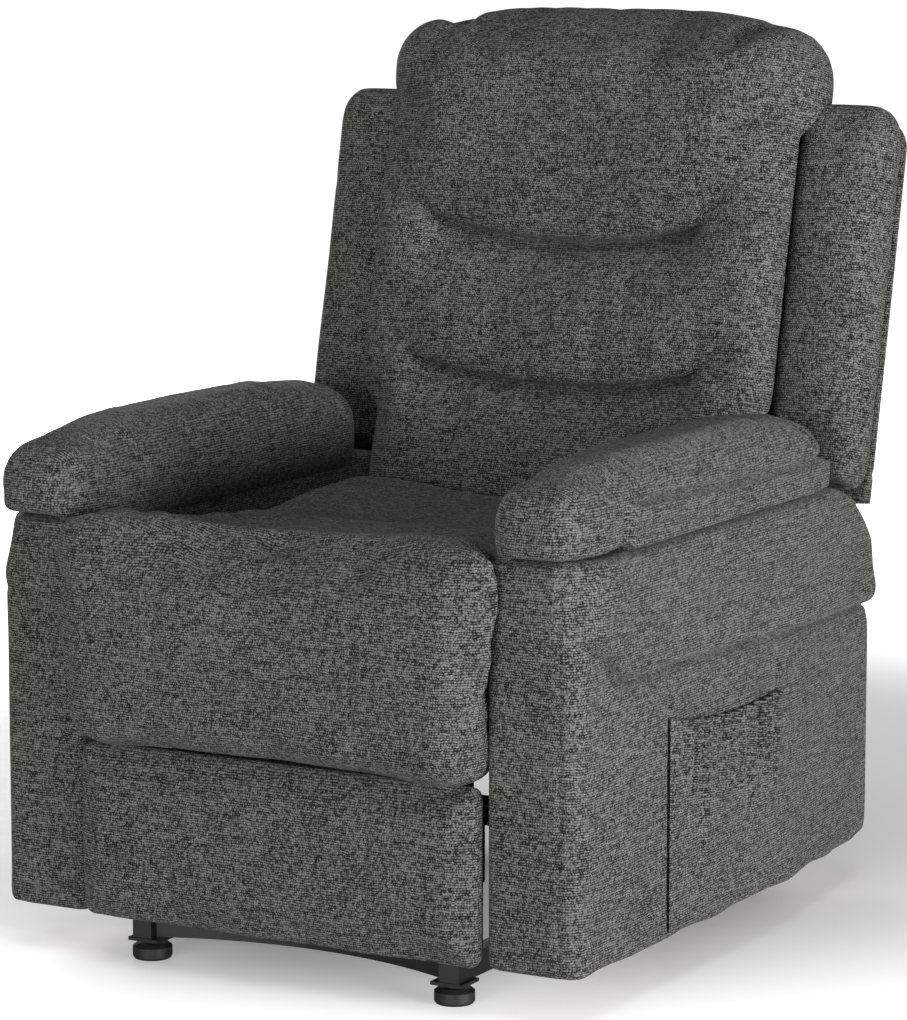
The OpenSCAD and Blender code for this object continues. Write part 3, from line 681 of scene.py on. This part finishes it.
# The roll widens and bellies where it is clear of the arms.
roll_spread = 0.030
roll_belly = 0.008
p, n = points_of(seat)
arm_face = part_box("arm_cover_left")[0].y
ahead = ease((arm_face + 0.002 - p[:, 1]) / 0.012)
height = (p[:, 2] - seat_bottom) / (seat_crest - seat_bottom)
spread = -0.004 + roll_spread * ease(height * 1.5)
p[:, 0] *= 1 + spread / seat_half * ahead
p[:, 1] -= roll_belly * ahead * bell(height - 0.35, 0.4)

# The deck dips in the middle, the crest stands up towards the arms, and short creases cross it.
sit_dip, front_dip = 0.026, 0.008
corner_rise, middle_fall = 0.016, 0.007
crease_long, crease_wide = 0.055, 0.012
creases = (
    (-0.11, -0.27, 0.5, 0.0045), (-0.04, -0.23, -0.3, 0.0035), (0.09, -0.25, 0.2, 0.003),
    (-0.16, -0.18, 1.1, 0.0035), (0.15, -0.2, -0.9, 0.003), (0.02, -0.33, 0.1, 0.002),
)
top = ease(n[:, 2] * 1.4)
face = ease(-n[:, 1] * 1.5)
behind = ease((p[:, 1] - seat_front - 0.05) / 0.2)
hollow = sit_dip * bell(p[:, 1] - 0.03, 0.19) * bell(p[:, 0], 0.19) + front_dip * bell(p[:, 1] + 0.12, 0.06)
p[:, 2] -= hollow * top * behind
corner = np.abs(p[:, 0]) / deck_half
p[:, 2] += corner_rise * ease((corner - 0.45) / 0.5) * top * bell(p[:, 1] - seat_front - 0.08, 0.1)
p[:, 2] -= middle_fall * bell(p[:, 0] + 0.05, 0.14) * top * bell(p[:, 1] - seat_front - 0.06, 0.08)
for x, y, angle, depth in creases:
    dx, dy = p[:, 0] - x, p[:, 1] - y
    u = dx * math.cos(angle) + dy * math.sin(angle)
    v = -dx * math.sin(angle) + dy * math.cos(angle)
    p[:, 2] -= depth * np.exp(-((u / crease_long) ** 2) - (v / crease_wide) ** 2) * top

# The roll's lower edge sags between its seams and is gathered in a slight ripple.
roll_sag, sag_off_middle = 0.010, 0.03
ripple_deep = 0.0022
roll_seam_wide, roll_seam_deep = 0.004, 0.0020
sag = roll_sag * (1 - (np.abs(p[:, 0] - sag_off_middle) / seat_half / 1.1) ** 2)
near_edge = ease((seat_bottom + 0.09 - p[:, 2]) / 0.08)
p[:, 2] -= (sag - 0.001) * near_edge * ease((roll_back + 0.01 - p[:, 1]) / 0.03)
for side in (-1, 1):
    seam = bell(np.abs(p[:, 0] - side * pad_seam), roll_seam_wide) * roll_seam_deep * face
    p -= n * (seam * ease((seat_crest - 0.04 - p[:, 2]) / 0.05))[:, None]
p[:, 1] += ripple_deep * np.sin(p[:, 0] * 37.0 + 1.3) * bell(p[:, 2] - seat_bottom - 0.018, 0.03) * face

# It may hang a little lower ahead of the footrest panel than over it.
lip = np.where(p[:, 1] < pad_low[1] - 0.002, 0.013, 0.004)
p[:, 2] = np.maximum(p[:, 2], seat_bottom - lip)
p[:, 1] = np.maximum(p[:, 1], seat_front - 0.020)
put_points(seat, p)
finished(seat, chenille, "base")
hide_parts("seat_cushion")

seat_paths = upright_paths(seat, seat_front, seat_bottom + 0.05, seat_crest - 0.06)
sew("seat_stitches", "base", seat_paths)


# ---- arm covers ----
# Each arm is a timber box under foam, covered in one front panel, one outer panel and a fuller
# padded outer lobe whose lower edge is a curved seam. The rear top corner is round so that
# the back wing can swing past it.

joints = {joint["name"]: joint for joint in frame["record"]["behaviour"]["joints"]}
hinge = Vector(joints["recline"]["pos_m"])
arm_low, arm_high = corners("arm_cover_left")
arm_arc = arm_high[2] - hinge.z
lobe_step = 0.010
side_x = arm_high[0] - lobe_step
seam_front = arm_low[1] + 0.030
lobe_foot = 0.36
turn_in = 0.026
turn_start = arm_high[1] - 0.280


def lobe_seam(y):
    """Height of the seam under the outer lobe: steep at the arm front, then gently down to the rear."""
    start = 0.060 * ease((arm_low[1] + 0.13 - y) / 0.13)
    return 0.366 - 0.040 * (y + 0.166) * ease((y + 0.166) / 0.2 + 0.5) + start


def arm_body():
    """The outer panel's box and the lobe on it, with the front corner round and the rear turned in."""
    body = block(
        (arm_low[0] + 0.001, arm_low[1] + 0.002, arm_low[2] + 0.001),
        (side_x - 0.001, arm_high[1] - 0.003, arm_high[2] - 0.001),
        radius=(0.008, 0.010, 0.006), step=0.009,
    )
    lobe = block(
        (side_x - 0.06, arm_low[1] + 0.014, lobe_foot),
        (arm_high[0] - 0.001, arm_high[1] - 0.004, arm_high[2] - 0.001),
        radius=(0.018, 0.03, 0.008), step=0.009,
    )
    points = lobe[0]
    points[:, 2] += (lobe_seam(points[:, 1]) - lobe_foot) * ease((arm_high[2] - 0.02 - points[:, 2]) / 0.12)
    for part, corner_r in ((body[0], 0.028), (points, 0.030)):
        right, ahead = part[:, 0] - (part[:, 0].max() - corner_r), part[:, 1].min() + corner_r - part[:, 1]
        square = np.maximum(right, ahead)
        pull = np.where((right > 0) & (ahead > 0), square / np.maximum(np.hypot(right, ahead), 1e-6), 1.0)
        part[:, 0] += right * (pull - 1.0)
        part[:, 1] -= ahead * (pull - 1.0)
        along = np.clip((part[:, 1] - turn_start) / (arm_high[1] - turn_start), 0.0, 1.0)
        part[:, 0] -= turn_in * along * ease((part[:, 0] - arm_low[0]) / 0.1)
        away_y = part[:, 1] - hinge.y
        away_z = part[:, 2] - hinge.z
        away = np.hypot(away_y, away_z)
        inside = (away_y > 0) & (away_z > 0) & (away > arm_arc - 0.002)
        scale = np.where(inside, (arm_arc - 0.002) / np.maximum(away, 1e-6), 1.0)
        part[:, 1] = np.where(inside, hinge.y + away_y * scale, part[:, 1])
        part[:, 2] = np.where(inside, hinge.z + away_z * scale, part[:, 2])
    return [body, (points, lobe[1])]


def mirrored(piece, name):
    """A copy of a piece for the other side, with its faces turned to point outwards."""
    twin = bpy.data.objects.new(name, piece.data.copy())
    bpy.context.scene.collection.objects.link(twin)
    twin.data.transform(Matrix.Scale(-1, 4, (1, 0, 0)))
    twin.data.flip_normals()
    return twin


arm = fused("arm_cover_left_cloth", arm_body(), voxel=0.007, smooth=4)
finer(arm)
p, n = points_of(arm)

# The lobe is pulled in along its seam, and the cloth is drawn in round the pocket.
lobe_pull, under_pull, lobe_full = 0.0130, 0.004, 0.005
pocket_pull = 0.0038
outer = ease(n[:, 0] * 1.7)
gap = p[:, 2] - lobe_seam(p[:, 1])
seam_on = ease((p[:, 1] - seam_front + 0.03) / 0.05)
p[:, 0] -= (lobe_pull * bell(gap, 0.0040) + under_pull * bell(gap + 0.006, 0.012)) * outer * seam_on
p[:, 0] += lobe_full * bell(gap - 0.022, 0.020) * outer * seam_on
pocket_low, pocket_high = corners("side_pocket")
for y in (pocket_low[1] + 0.001, pocket_high[1] - 0.001):
    p[:, 0] -= pocket_pull * bell(p[:, 1] - y, 0.0030) * outer * ease((-gap - 0.002) / 0.01)

# The front panel narrows and swells under the pad, and has an edge seam on its outer side.
front_swell = 0.006
front_narrow = 0.012
face = ease(-n[:, 1] * 1.6)
near_top = ease((p[:, 2] - 0.42) / 0.09)
near_front = ease((arm_low[1] + 0.08 - p[:, 1]) / 0.06)
p[:, 0] -= front_narrow * near_top * near_front * ease((p[:, 0] - 0.32) / 0.05)
p[:, 1] += bell(p[:, 0] - (side_x - 0.026), 0.0035) * 0.0018 * face
under_pad = ease((p[:, 2] - 0.36) / 0.1) * ease((arm_high[2] + 0.01 - p[:, 2]) / 0.06)
p[:, 1] -= front_swell * face * under_pad * bell(p[:, 0] - 0.32, 0.07)

# The lower hem is slightly wavy.
hem = 0.0016 * np.sin(p[:, 1] * 58.0) * bell(p[:, 2] - arm_low[2] - 0.004, 0.022)
p[:, 0] += hem * outer
p[:, 2] += 0.0018 * np.sin(p[:, 1] * 35.0 + 0.7) * ease((arm_low[2] + 0.02 - p[:, 2]) / 0.02) * outer
p[:, 0] = np.minimum(p[:, 0], arm_high[0] + 0.002)
put_points(arm, p)

# The right arm is its mirror image, with a hole for the release lever's cup.
arm_twin = mirrored(arm, "arm_cover_right_cloth")
cup_low, cup_high = corners("lever_bezel")
rim = 0.0075
past_cover = -0.43
cut = solid("cup_cut", [block(
    (past_cover, cup_low[1] + rim, cup_low[2] + rim),
    (cup_high[0] + 0.001, cup_high[1] - rim, cup_high[2] - rim),
    radius=(0.002, 0.013, 0.013), step=0.01,
)])
hole = arm_twin.modifiers.new("hole", "BOOLEAN")
hole.object = cut
hole.operation = "DIFFERENCE"
hole.solver = "EXACT"
settle(arm_twin)
bpy.data.objects.remove(cut)
for piece, node in ((arm, "arm_cover_left"), (arm_twin, "arm_cover_right")):
    finished(piece, chenille, "base")
    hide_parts(node)


# ---- arm pads ----
# Overstuffed pillow tops sewn to the arms. A crowned top panel and a rolled inner side meet a flat
# outer border along a seam; the nose bulges forward over the arm front.

top_low, top_high = corners("arm_pad_left")
pad_base = top_low[2]
pad_rise = top_high[2] - pad_base
pad_mid = (top_low[0] + top_high[0]) / 2
pad_hang = 0.036
nose_long, nose_narrow = 0.16, 0.012


def pad_top(y):
    """Crest of the pad: it climbs from the nose, is fullest past the middle and falls at the rear."""
    climb = ease((y - top_low[1] + 0.04) / 0.24)
    fall = 0.010 * ease((y - top_high[1] + 0.16) / 0.16)
    return pad_base + pad_rise * (0.74 + 0.16 * climb) - fall


pillow = block(
    (top_low[0] - 0.012, top_low[1] - 0.002, pad_base - pad_hang),
    (top_high[0] - 0.004, top_high[1] + 0.014, top_high[2] - 0.01),
    radius=(0.040, 0.044, 0.054), step=0.009,
)
q = pillow[0]
lift = (q[:, 2] - pad_base) / pad_rise
q[:, 2] = np.where(lift > 0, pad_base + (pad_top(q[:, 1]) - pad_base) * lift, q[:, 2])
outward = ease((q[:, 0] - top_low[0] - 0.002) / 0.014)
q[:, 2] = np.maximum(q[:, 2], pad_base - pad_hang + 0.038 * outward)
nose = ease((top_low[1] + nose_long - q[:, 1]) / nose_long)
q[:, 0] -= nose_narrow * nose * (q[:, 0] - pad_mid) / (top_high[0] - pad_mid)
pad = fused("arm_pad_left_cloth", [pillow], voxel=0.007, smooth=3)
p, n = points_of(pad)
pad_held = np.maximum(
    ease((pad_base + 0.012 - p[:, 2]) / 0.008),
    ease((p[:, 1] - top_high[1] + 0.012) / 0.01) * 0.8,
)
inflate(pad, pad_held, pressure=4.0, cap=0.010, slack=0.015)
finer(pad)
p, n = points_of(pad)

# The outer border starts behind the nose and is flat under the seam.
border_y = top_low[1] + 0.118
border_rise, border_fall, border_long = 0.052, 0.010, 0.35
outer = ease((n[:, 0] + 0.1) * 2.2)
behind = ease((p[:, 1] - border_y) / 0.02)
border_top = pad_base + border_rise - border_fall * ease((p[:, 1] - border_y) / border_long)
over = p[:, 2] - border_top
p[:, 0] -= 0.008 * bell(over, 0.0045) * outer * behind
wall = top_high[0] - 0.003 - nose_narrow * ease((top_low[1] + nose_long - p[:, 1]) / nose_long)
flat = ease(-over / 0.008) * outer * behind * 0.85
p[:, 0] += (wall - p[:, 0]) * flat
p -= n * (0.006 * bell(p[:, 1] - border_y + 0.004, 0.007) * outer * ease(-over / 0.012 + 0.8))[:, None]

# Short folds ahead of the border, and small tucks along the inner foot of the nose.
for dy, tilt, depth in ((0.012, 0.5, 0.0035), (0.022, 0.2, 0.0028), (0.030, -0.1, 0.002)):
    fold = p[:, 1] - border_y + dy + tilt * (p[:, 2] - border_top + 0.03)
    p -= n * (depth * bell(fold, 0.006) * outer * ease((border_top + 0.005 - p[:, 2]) / 0.02))[:, None]
tuck_count, tuck_pitch, tuck_deep = 9, 0.013, 0.0022
for k in range(tuck_count):
    y0 = top_low[1] + 0.02 + tuck_pitch * k
    on_tuck = bell(p[:, 1] - y0 + 0.4 * (p[:, 2] - pad_base), 0.004)
    p -= n * (tuck_deep * (on_tuck * bell(p[:, 2] - pad_base - 0.004, 0.020)))[:, None]
p[:, 0] = np.clip(p[:, 0], top_low[0] - 0.022, top_high[0] + 0.002)
put_points(pad, p)
pad_twin = mirrored(pad, "arm_pad_right_cloth")
for piece, node in ((pad, "arm_pad_left"), (pad_twin, "arm_pad_right")):
    finished(piece, chenille, "base")
    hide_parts(node)

stitch_drop = 0.006
for piece, side in ((pad, 1), (pad_twin, -1)):
    path = []
    for y in np.linspace(border_y + 0.02, top_high[1] - 0.03, 60):
        z = pad_base + border_rise - stitch_drop - border_fall * float(ease((y - border_y) / border_long))
        path.append((side * (top_high[0] + 0.1), y, z))
    sew("pad_stitches_left" if side > 0 else "pad_stitches_right", "base",
        [on_skin(piece, path, (-side, 0, 0))])


# ---- side pocket ----
# A flat cloth bag sewn to the outer panel on the sitter's left. Its mouth is an elastic hem,
# so the cloth hangs in gathers that fade out before the bottom seam.


def walled(outside, inside, turned=False):
    """A closed sheet between two like grids of points; turned swaps the side that faces out."""
    across, along = outside.shape[:2]
    count = across * along
    number = np.arange(count).reshape(across, along)
    quads = quads_of(number)
    loop = np.concatenate([number[:, 0], number[-1, 1:], number[-2::-1, -1], number[0, -2:0:-1]])
    after = np.roll(loop, -1)
    edge = np.stack([after, loop, loop + count, after + count], -1)
    if turned:
        quads, edge = quads[:, [0, 3, 2, 1]], edge[:, [1, 0, 3, 2]]
    faces = np.concatenate([quads, quads[:, ::-1] + count, edge])
    return np.concatenate([outside.reshape(-1, 3), inside.reshape(-1, 3)]), faces


cloth_thick = 0.0022
rows, columns = 90, 220
gather_count, gather_deep = 12, 0.0112
mouth_dip, mouth_fall = 0.010, 0.013
hem_at, hem_wide, hem_deep = 0.955, 0.016, 0.0025
ys = np.linspace(pocket_low[1], pocket_high[1], columns)
zs = np.linspace(pocket_low[2] + 0.002, pocket_high[2], rows)
Y, Z = np.meshgrid(ys, zs, indexing="ij")
u = (Y - pocket_low[1]) / (pocket_high[1] - pocket_low[1])
v = (Z - zs[0]) / (zs[-1] - zs[0])
mouth = mouth_dip * 4 * u * (1 - u)
Z = Z - v * (mouth + mouth_fall * u)
rim_in = np.minimum(ease(u / 0.05), ease((1 - u) / 0.05)) * ease(v / 0.05)
rng = np.random.default_rng(7)
gathers = np.zeros_like(Y)
for k in range(gather_count):
    centre = (k + 0.5 + rng.uniform(-0.22, 0.22)) / gather_count
    length = rng.uniform(0.40, 0.80)
    width = rng.uniform(0.016, 0.023)
    lean = rng.uniform(-0.05, 0.05) + 0.10 * (centre - 0.5)
    fade = ease((v - (1 - length)) / (0.5 * length))
    gathers += bell(u - centre - lean * (1 - v), width) * fade * rng.uniform(0.7, 1.0)
puff = 0.0012 * rim_in * (0.55 + 0.45 * ease((0.75 - v) / 0.6))
swell = pocket_low[0] + 0.0008 + puff + gather_deep * gathers * rim_in
X = swell - bell(v - hem_at, hem_wide) * hem_deep * rim_in + 0.0028 * ease((v - 0.965) / 0.02) * rim_in
X = np.minimum(X, pocket_high[0] + 0.004)
outer_skin = np.stack([X, Y, Z], -1)
inner_skin = outer_skin.copy()
inner_skin[..., 0] -= np.minimum(cloth_thick, np.maximum(X - pocket_low[0] - 0.0002, 0.0003))
pocket = solid("side_pocket_cloth", [walled(outer_skin, inner_skin)])
finished(pocket, chenille, "base", facing=0)
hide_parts("side_pocket")


# ---- back cushion with its head roll ----
# One long stuffed cover over the back frame. Two curved tucks are pulled through to the frame and
# tied, which makes three swags; the top swag is the head roll and wraps over the top rail.

lean = math.radians(12.5)
rear_way = np.array([0.0, math.cos(lean), -math.sin(lean)])
up_way = np.array([0.0, math.sin(lean), math.cos(lean)])
back_turn = np.stack([np.array([1.0, 0.0, 0.0]), rear_way, up_way], -1)
pivot = np.array([0.0, hinge.y, hinge.z])


def to_back(points):
    """Points in the back's own frame: across, rearward and up its length, from the recline pins."""
    return (points - pivot) @ back_turn


def from_back(points):
    return points @ back_turn.T + pivot


cushion_corner = to_back(points_of(frame["nodes"]["back_cushion"])[0])
head_corner = to_back(points_of(frame["nodes"]["head_pillow"])[0])
low_up = cushion_corner[:, 2].min()
head_up = head_corner[:, 2].min()
high_up = head_corner[:, 2].max()
front_at = cushion_corner[:, 1].min()
upper_half = cushion_corner[:, 0].max()
head_half = head_corner[:, 0].max()
head_rear = head_corner[:, 1].max()
lower_half = upper_half - 0.018
crown_droop = 0.034
tucks = (
    {"up": 0.490, "rise": 0.030, "half": 0.205, "shift": -0.012, "depth": 0.036},
    {"up": 0.312, "rise": 0.029, "half": 0.215, "shift": -0.006, "depth": 0.036},
)


def tuck_line(tuck, x):
    """Height of a tuck: lowest near its middle and rising to both ends."""
    return tuck["up"] + tuck["rise"] * np.minimum((np.abs(x - tuck["shift"]) / tuck["half"]) ** 2, 1.6)


middle = block(
    (-upper_half - 0.008, front_at + 0.008, 0.262),
    (upper_half + 0.008, 0.004, head_up + 0.02),
    radius=(0.045, 0.03, 0.05), step=0.012,
)
waist = block(
    (-lower_half + 0.004, front_at + 0.004, low_up + 0.002),
    (lower_half - 0.004, 0.0, 0.36),
    radius=(0.034, 0.03, 0.03), step=0.012,
)
crown = block(
    (-head_half + 0.002, front_at + 0.008, head_up - 0.03),
    (head_half - 0.002, head_rear + 0.002, high_up + 0.012),
    radius=(0.055, 0.062, 0.058), step=0.012,
)

# In the back's sections, q and m are p and n in the back's own frame.
q = crown[0]
q[:, 2] -= crown_droop * (np.abs(q[:, 0]) / head_half) ** 3 * ease((q[:, 2] - head_up) / 0.06)
back_parts = [(from_back(part[0]), part[1]) for part in (middle, waist, crown)]
back = fused("back_cover", back_parts, voxel=0.009, smooth=9)
p, n = points_of(back)
q = to_back(p)
back_held = ease((q[:, 1] + 0.022) / 0.02) * ease((head_up - 0.01 - q[:, 2]) / 0.02)
back_held = np.maximum(back_held, ease((low_up + 0.02 - q[:, 2]) / 0.012))
back_held = np.maximum(back_held, ease((q[:, 1] - head_rear + 0.05) / 0.03))
for tuck in tucks:
    reach = ease((tuck["half"] + 0.012 - np.abs(q[:, 0] - tuck["shift"])) / 0.03)
    on_line = bell(q[:, 2] - tuck_line(tuck, q[:, 0]), 0.010)
    back_held = np.maximum(back_held, on_line * reach * (q[:, 1] < front_at + 0.06))
inflate(back, back_held, pressure=4.0, cap=0.022, slack=0.008)
finer(back)

# Each tuck is sharp above its line and soft below it, with small creases that fan out at its ends.
ray_wide, ray_long = 0.16, 0.05
rays = ((1.0, 0.0050), (0.30, 0.0045), (-0.55, 0.0048), (-1.35, 0.0034), (1.9, 0.0026))
p, n = points_of(back)
q = to_back(p)
m = n @ back_turn
face = ease(-m[:, 1] * 1.7)
for tuck in tucks:
    side = np.abs(q[:, 0] - tuck["shift"]) / tuck["half"]
    reach = ease((1.0 - side) / 0.16)
    gap = q[:, 2] - tuck_line(tuck, q[:, 0])
    above = np.exp(-np.abs(gap) / 0.006) * 0.86 + bell(gap, 0.026) * 0.14
    below = np.exp(-np.abs(gap) / 0.016) * 0.40 + bell(gap, 0.060) * 0.60
    pull = np.where(gap > 0, above, below) * tuck["depth"] * reach * (0.75 + 0.25 * bell(side, 0.8))
    q[:, 1] += pull * face
    q[:, 2] -= 0.014 * bell(gap - 0.014, 0.014) * reach * face
    for end in (-1, 1):
        end_x = tuck["shift"] + end * tuck["half"] * 0.97
        end_z = tuck_line(tuck, np.array([end_x]))[0]
        dx, dz = (q[:, 0] - end_x) * end, q[:, 2] - end_z
        radius = np.hypot(dx, dz)
        angle = np.arctan2(dz, dx)
        for way, depth in rays:
            ray = np.exp(-(((angle - way) / ray_wide) ** 2)) * np.exp(-radius / ray_long)
            q[:, 1] += depth * (ray * ease(radius / 0.012)) * face

# Faint upright creases and a loose, uneven fill.
uprights = (
    (-0.120, 0.240, 0.0030), (-0.020, 0.250, 0.0028), (0.095, 0.262, 0.0024),
    (0.060, 0.385, 0.0020), (-0.150, 0.400, 0.0016),
)
loose_deep = 0.0022
for x, up, depth in uprights:
    q[:, 1] += depth * bell(q[:, 0] - x, 0.006) * bell(q[:, 2] - up, 0.055) * face
long_wave = np.sin(q[:, 0] * 23.0 + q[:, 2] * 9.0) * np.sin(q[:, 2] * 17.0 + 0.8)
short_wave = 0.6 * np.sin(q[:, 0] * 41.0 - q[:, 2] * 21.0)
q[:, 1] += loose_deep * (long_wave + short_wave) * face
q[:, 2] = np.minimum(q[:, 2], high_up + 0.014)
put_points(back, from_back(q))
finished(back, chenille, "recliner_back", turn=back_turn)
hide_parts("back_cushion", "head_pillow")


# ---- back wings ----
# Foam bolsters on the outer edges of the back frame. Each has a flat outer border with a seam down
# its front edge, a rounded top corner, and a foot cut to an arc about the recline pins.


def wing_form():
    """A round-edged bar in the back's own frame; its foot clears the arm's round corner."""
    corner = to_back(points_of(frame["nodes"]["back_wing_left"])[0])
    low, high = corner.min(0), corner.max(0)
    part = block(
        (low[0] + 0.003, low[1] + 0.002, low[2] + 0.002),
        (high[0] - 0.002, high[1] - 0.002, high[2] - 0.003),
        radius=(0.028, 0.028, 0.045), step=0.009,
    )
    q = part[0]
    arc = arm_arc + 0.006
    away = np.hypot(q[:, 1], q[:, 2])
    foot = (away < arc + 0.002) & (q[:, 2] < arc)
    scale = np.where(foot, (arc + 0.002) / np.maximum(away, 1e-6), 1.0)
    q[:, 1] *= scale
    q[:, 2] *= scale
    return (from_back(q), part[1]), low, high


wing_part, wing_low, wing_high = wing_form()
wing = fused("wing_left_cloth", [wing_part], voxel=0.008, smooth=4)
p, _ = points_of(wing)
q = to_back(p)
wing_held = ease((q[:, 1] - wing_high[1] + 0.03) / 0.02)
wing_held = np.maximum(wing_held, ease((wing_low[2] + 0.06 - q[:, 2]) / 0.03))
wing_held = np.maximum(wing_held, ease((wing_low[0] + 0.02 - q[:, 0]) / 0.01))
inflate(wing, wing_held, pressure=3.0, cap=0.006)
finer(wing)
p, n = points_of(wing)
q = to_back(p)
m = n @ back_turn
border_at, seam_pull, wave_deep = 0.030, 0.0035, 0.0025
edge_seam = bell(q[:, 1] - wing_low[1] - border_at, 0.0035) * ease((m[:, 0] - 0.2) * 2.0)
q[:, 0] -= seam_pull * edge_seam
wave = wave_deep * np.sin(q[:, 2] * 31.0) * ease(-m[:, 1] * 1.5)
q[:, 1] += wave * bell(q[:, 0] - wing_low[0] - 0.06, 0.05)
put_points(wing, from_back(q))
wing_twin = mirrored(wing, "wing_right_cloth")
for piece, node in ((wing, "back_wing_left"), (wing_twin, "back_wing_right")):
    finished(piece, chenille, "recliner_back", turn=back_turn)
    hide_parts(node)


# ---- rear panel ----
# A board-backed cloth panel closes the back. Its edge is rolled over, and a level seam with
# a row of stitches joins the lower flap, which hangs between the arms.


def shell_form(seam_up):
    """The panel in the back's own frame: full width above the arms, narrow between them."""
    corner = to_back(points_of(frame["nodes"]["back_shell"])[0])
    low, high = corner.min(0), corner.max(0)
    U, V = np.meshgrid(np.linspace(-1.0, 1.0, 90), np.linspace(0.0, 1.0, 110), indexing="ij")
    up = low[2] + (high[2] - low[2]) * V
    arc = arm_arc + 0.007
    open_up = math.sqrt(arc**2 - high[1] ** 2)
    narrow = 0.248
    half = np.where(up < open_up, narrow, high[0])
    corner_r = 0.04
    top_gap = np.clip(up - (high[2] - corner_r), 0.0, corner_r)
    half = half - 0.006 - (corner_r - np.sqrt(np.maximum(corner_r**2 - top_gap**2, 0.0)))
    x = U * half
    edge_roll = 0.012
    side_rim = np.minimum(1.0, (half - np.abs(x)) / edge_roll)
    rim = side_rim * np.minimum(1.0, (high[2] - up) / edge_roll + 1e-3) * np.minimum(1.0, V / 0.02)
    rim = np.sqrt(np.clip(1 - (1 - np.clip(rim, 0, 1)) ** 2, 0, 1))
    thick = (high[1] - low[1]) * (0.35 + 0.65 * rim)
    groove = 0.003 * bell(up - seam_up, 0.004)
    sagging = 0.0015 * np.sin(x * 19.0) * np.sin(up * 13.0) * rim
    rear = low[1] + thick - groove + sagging
    front = np.full_like(rear, low[1] + 0.0005)
    points, faces = walled(np.stack([x, rear, up], -1), np.stack([x, front, up], -1), turned=True)
    return (from_back(points), faces), high


shell_seam = 0.235
shell_part, shell_high = shell_form(shell_seam)
shell = solid("rear_panel_cloth", [shell_part])
finished(shell, chenille, "recliner_back", turn=back_turn)
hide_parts("back_shell")
panel_path = []
for x in np.linspace(-0.235, 0.235, 60):
    panel_path.append(tuple(from_back(np.array([x, shell_high[1] + 0.1, shell_seam + 0.006]))))
sew("panel_stitches", "recliner_back", [on_skin(shell, panel_path, tuple(-rear_way))])


# ---- floor and light ----
# A pale floor runs out of sight under a white sky; to the camera it glows white as painted light, and
# dimmer under and behind the chair as a painted shadow.
# One large low soft box on the sitter's left lights the outer arm, a long one fills the front, a weak one
# overhead lifts the tops, and one behind on the sitter's right lights the back and the lever side.


def pale_floor():
    finish, shader, start = new_finish("pale_floor")
    place = start.place()
    feed(shader, Roughness=0.55 + 0.1 * start.noise(30.0, 3.0, place))
    shader.inputs["Base Color"].default_value = (0.93, 0.93, 0.93, 1.0)
    shader.inputs["Emission Color"].default_value = (1.0, 1.0, 1.0, 1.0)
    middle = (-0.3, 0.6, 0.0)
    reach = start.add("ShaderNodeVectorMath", {"operation": "DISTANCE"}, {0: place, 1: middle}, out=1)
    # Only the camera sees this glow: painted light that makes the floor white from 1.6 m out, and weak
    # under and behind the chair as a painted shadow.
    painted_glow_and_shadow = 0.12 + 0.88 * reach.band(0.75, 1.6)
    feed(shader, Emission_Strength=painted_glow_and_shadow * start.add("ShaderNodeLightPath"))
    shader.inputs["Specular IOR Level"].default_value = 0.25
    return finish


floor_corners = np.array([(-30, -30, 0), (30, -30, 0), (30, 30, 0), (-30, 30, 0)], float)
floor = solid("floor", [(floor_corners, np.array([[0, 1, 2, 3]]))])
floor.data.materials.append(pale_floor())


def soft_box(name, at, size, power, look=(0.0, 0.0, 0.45)):
    data = bpy.data.lights.new(name, "AREA")
    data.shape = "RECTANGLE"
    data.size, data.size_y = size
    data.energy = power
    light = bpy.data.objects.new(name, data)
    light.location = at
    light.rotation_euler = (Vector(look) - Vector(at)).to_track_quat("-Z", "Y").to_euler()
    bpy.context.scene.collection.objects.link(light)


soft_box("key", (4.6, -0.9, 0.75), (2.4, 1.3), 225.0)
soft_box("fill", (0.2, -5.2, 0.9), (3.4, 1.5), 128.0)
soft_box("top", (0.6, -1.2, 4.2), (2.5, 2.5), 48.0)
soft_box("rear", (-3.4, 3.6, 1.3), (2.6, 1.6), 120.0)
sky = bpy.data.worlds.new("sky")
sky.use_nodes = True
start = Wire(sky.node_tree)
backdrop = sky.node_tree.nodes["Background"]
backdrop.inputs["Color"].default_value = (1.0, 1.0, 1.0, 1.0)
feed(backdrop, Strength=0.07 + 0.93 * start.add("ShaderNodeLightPath"))
bpy.context.scene.world = sky
bpy.context.scene.view_settings.view_transform = "Standard"
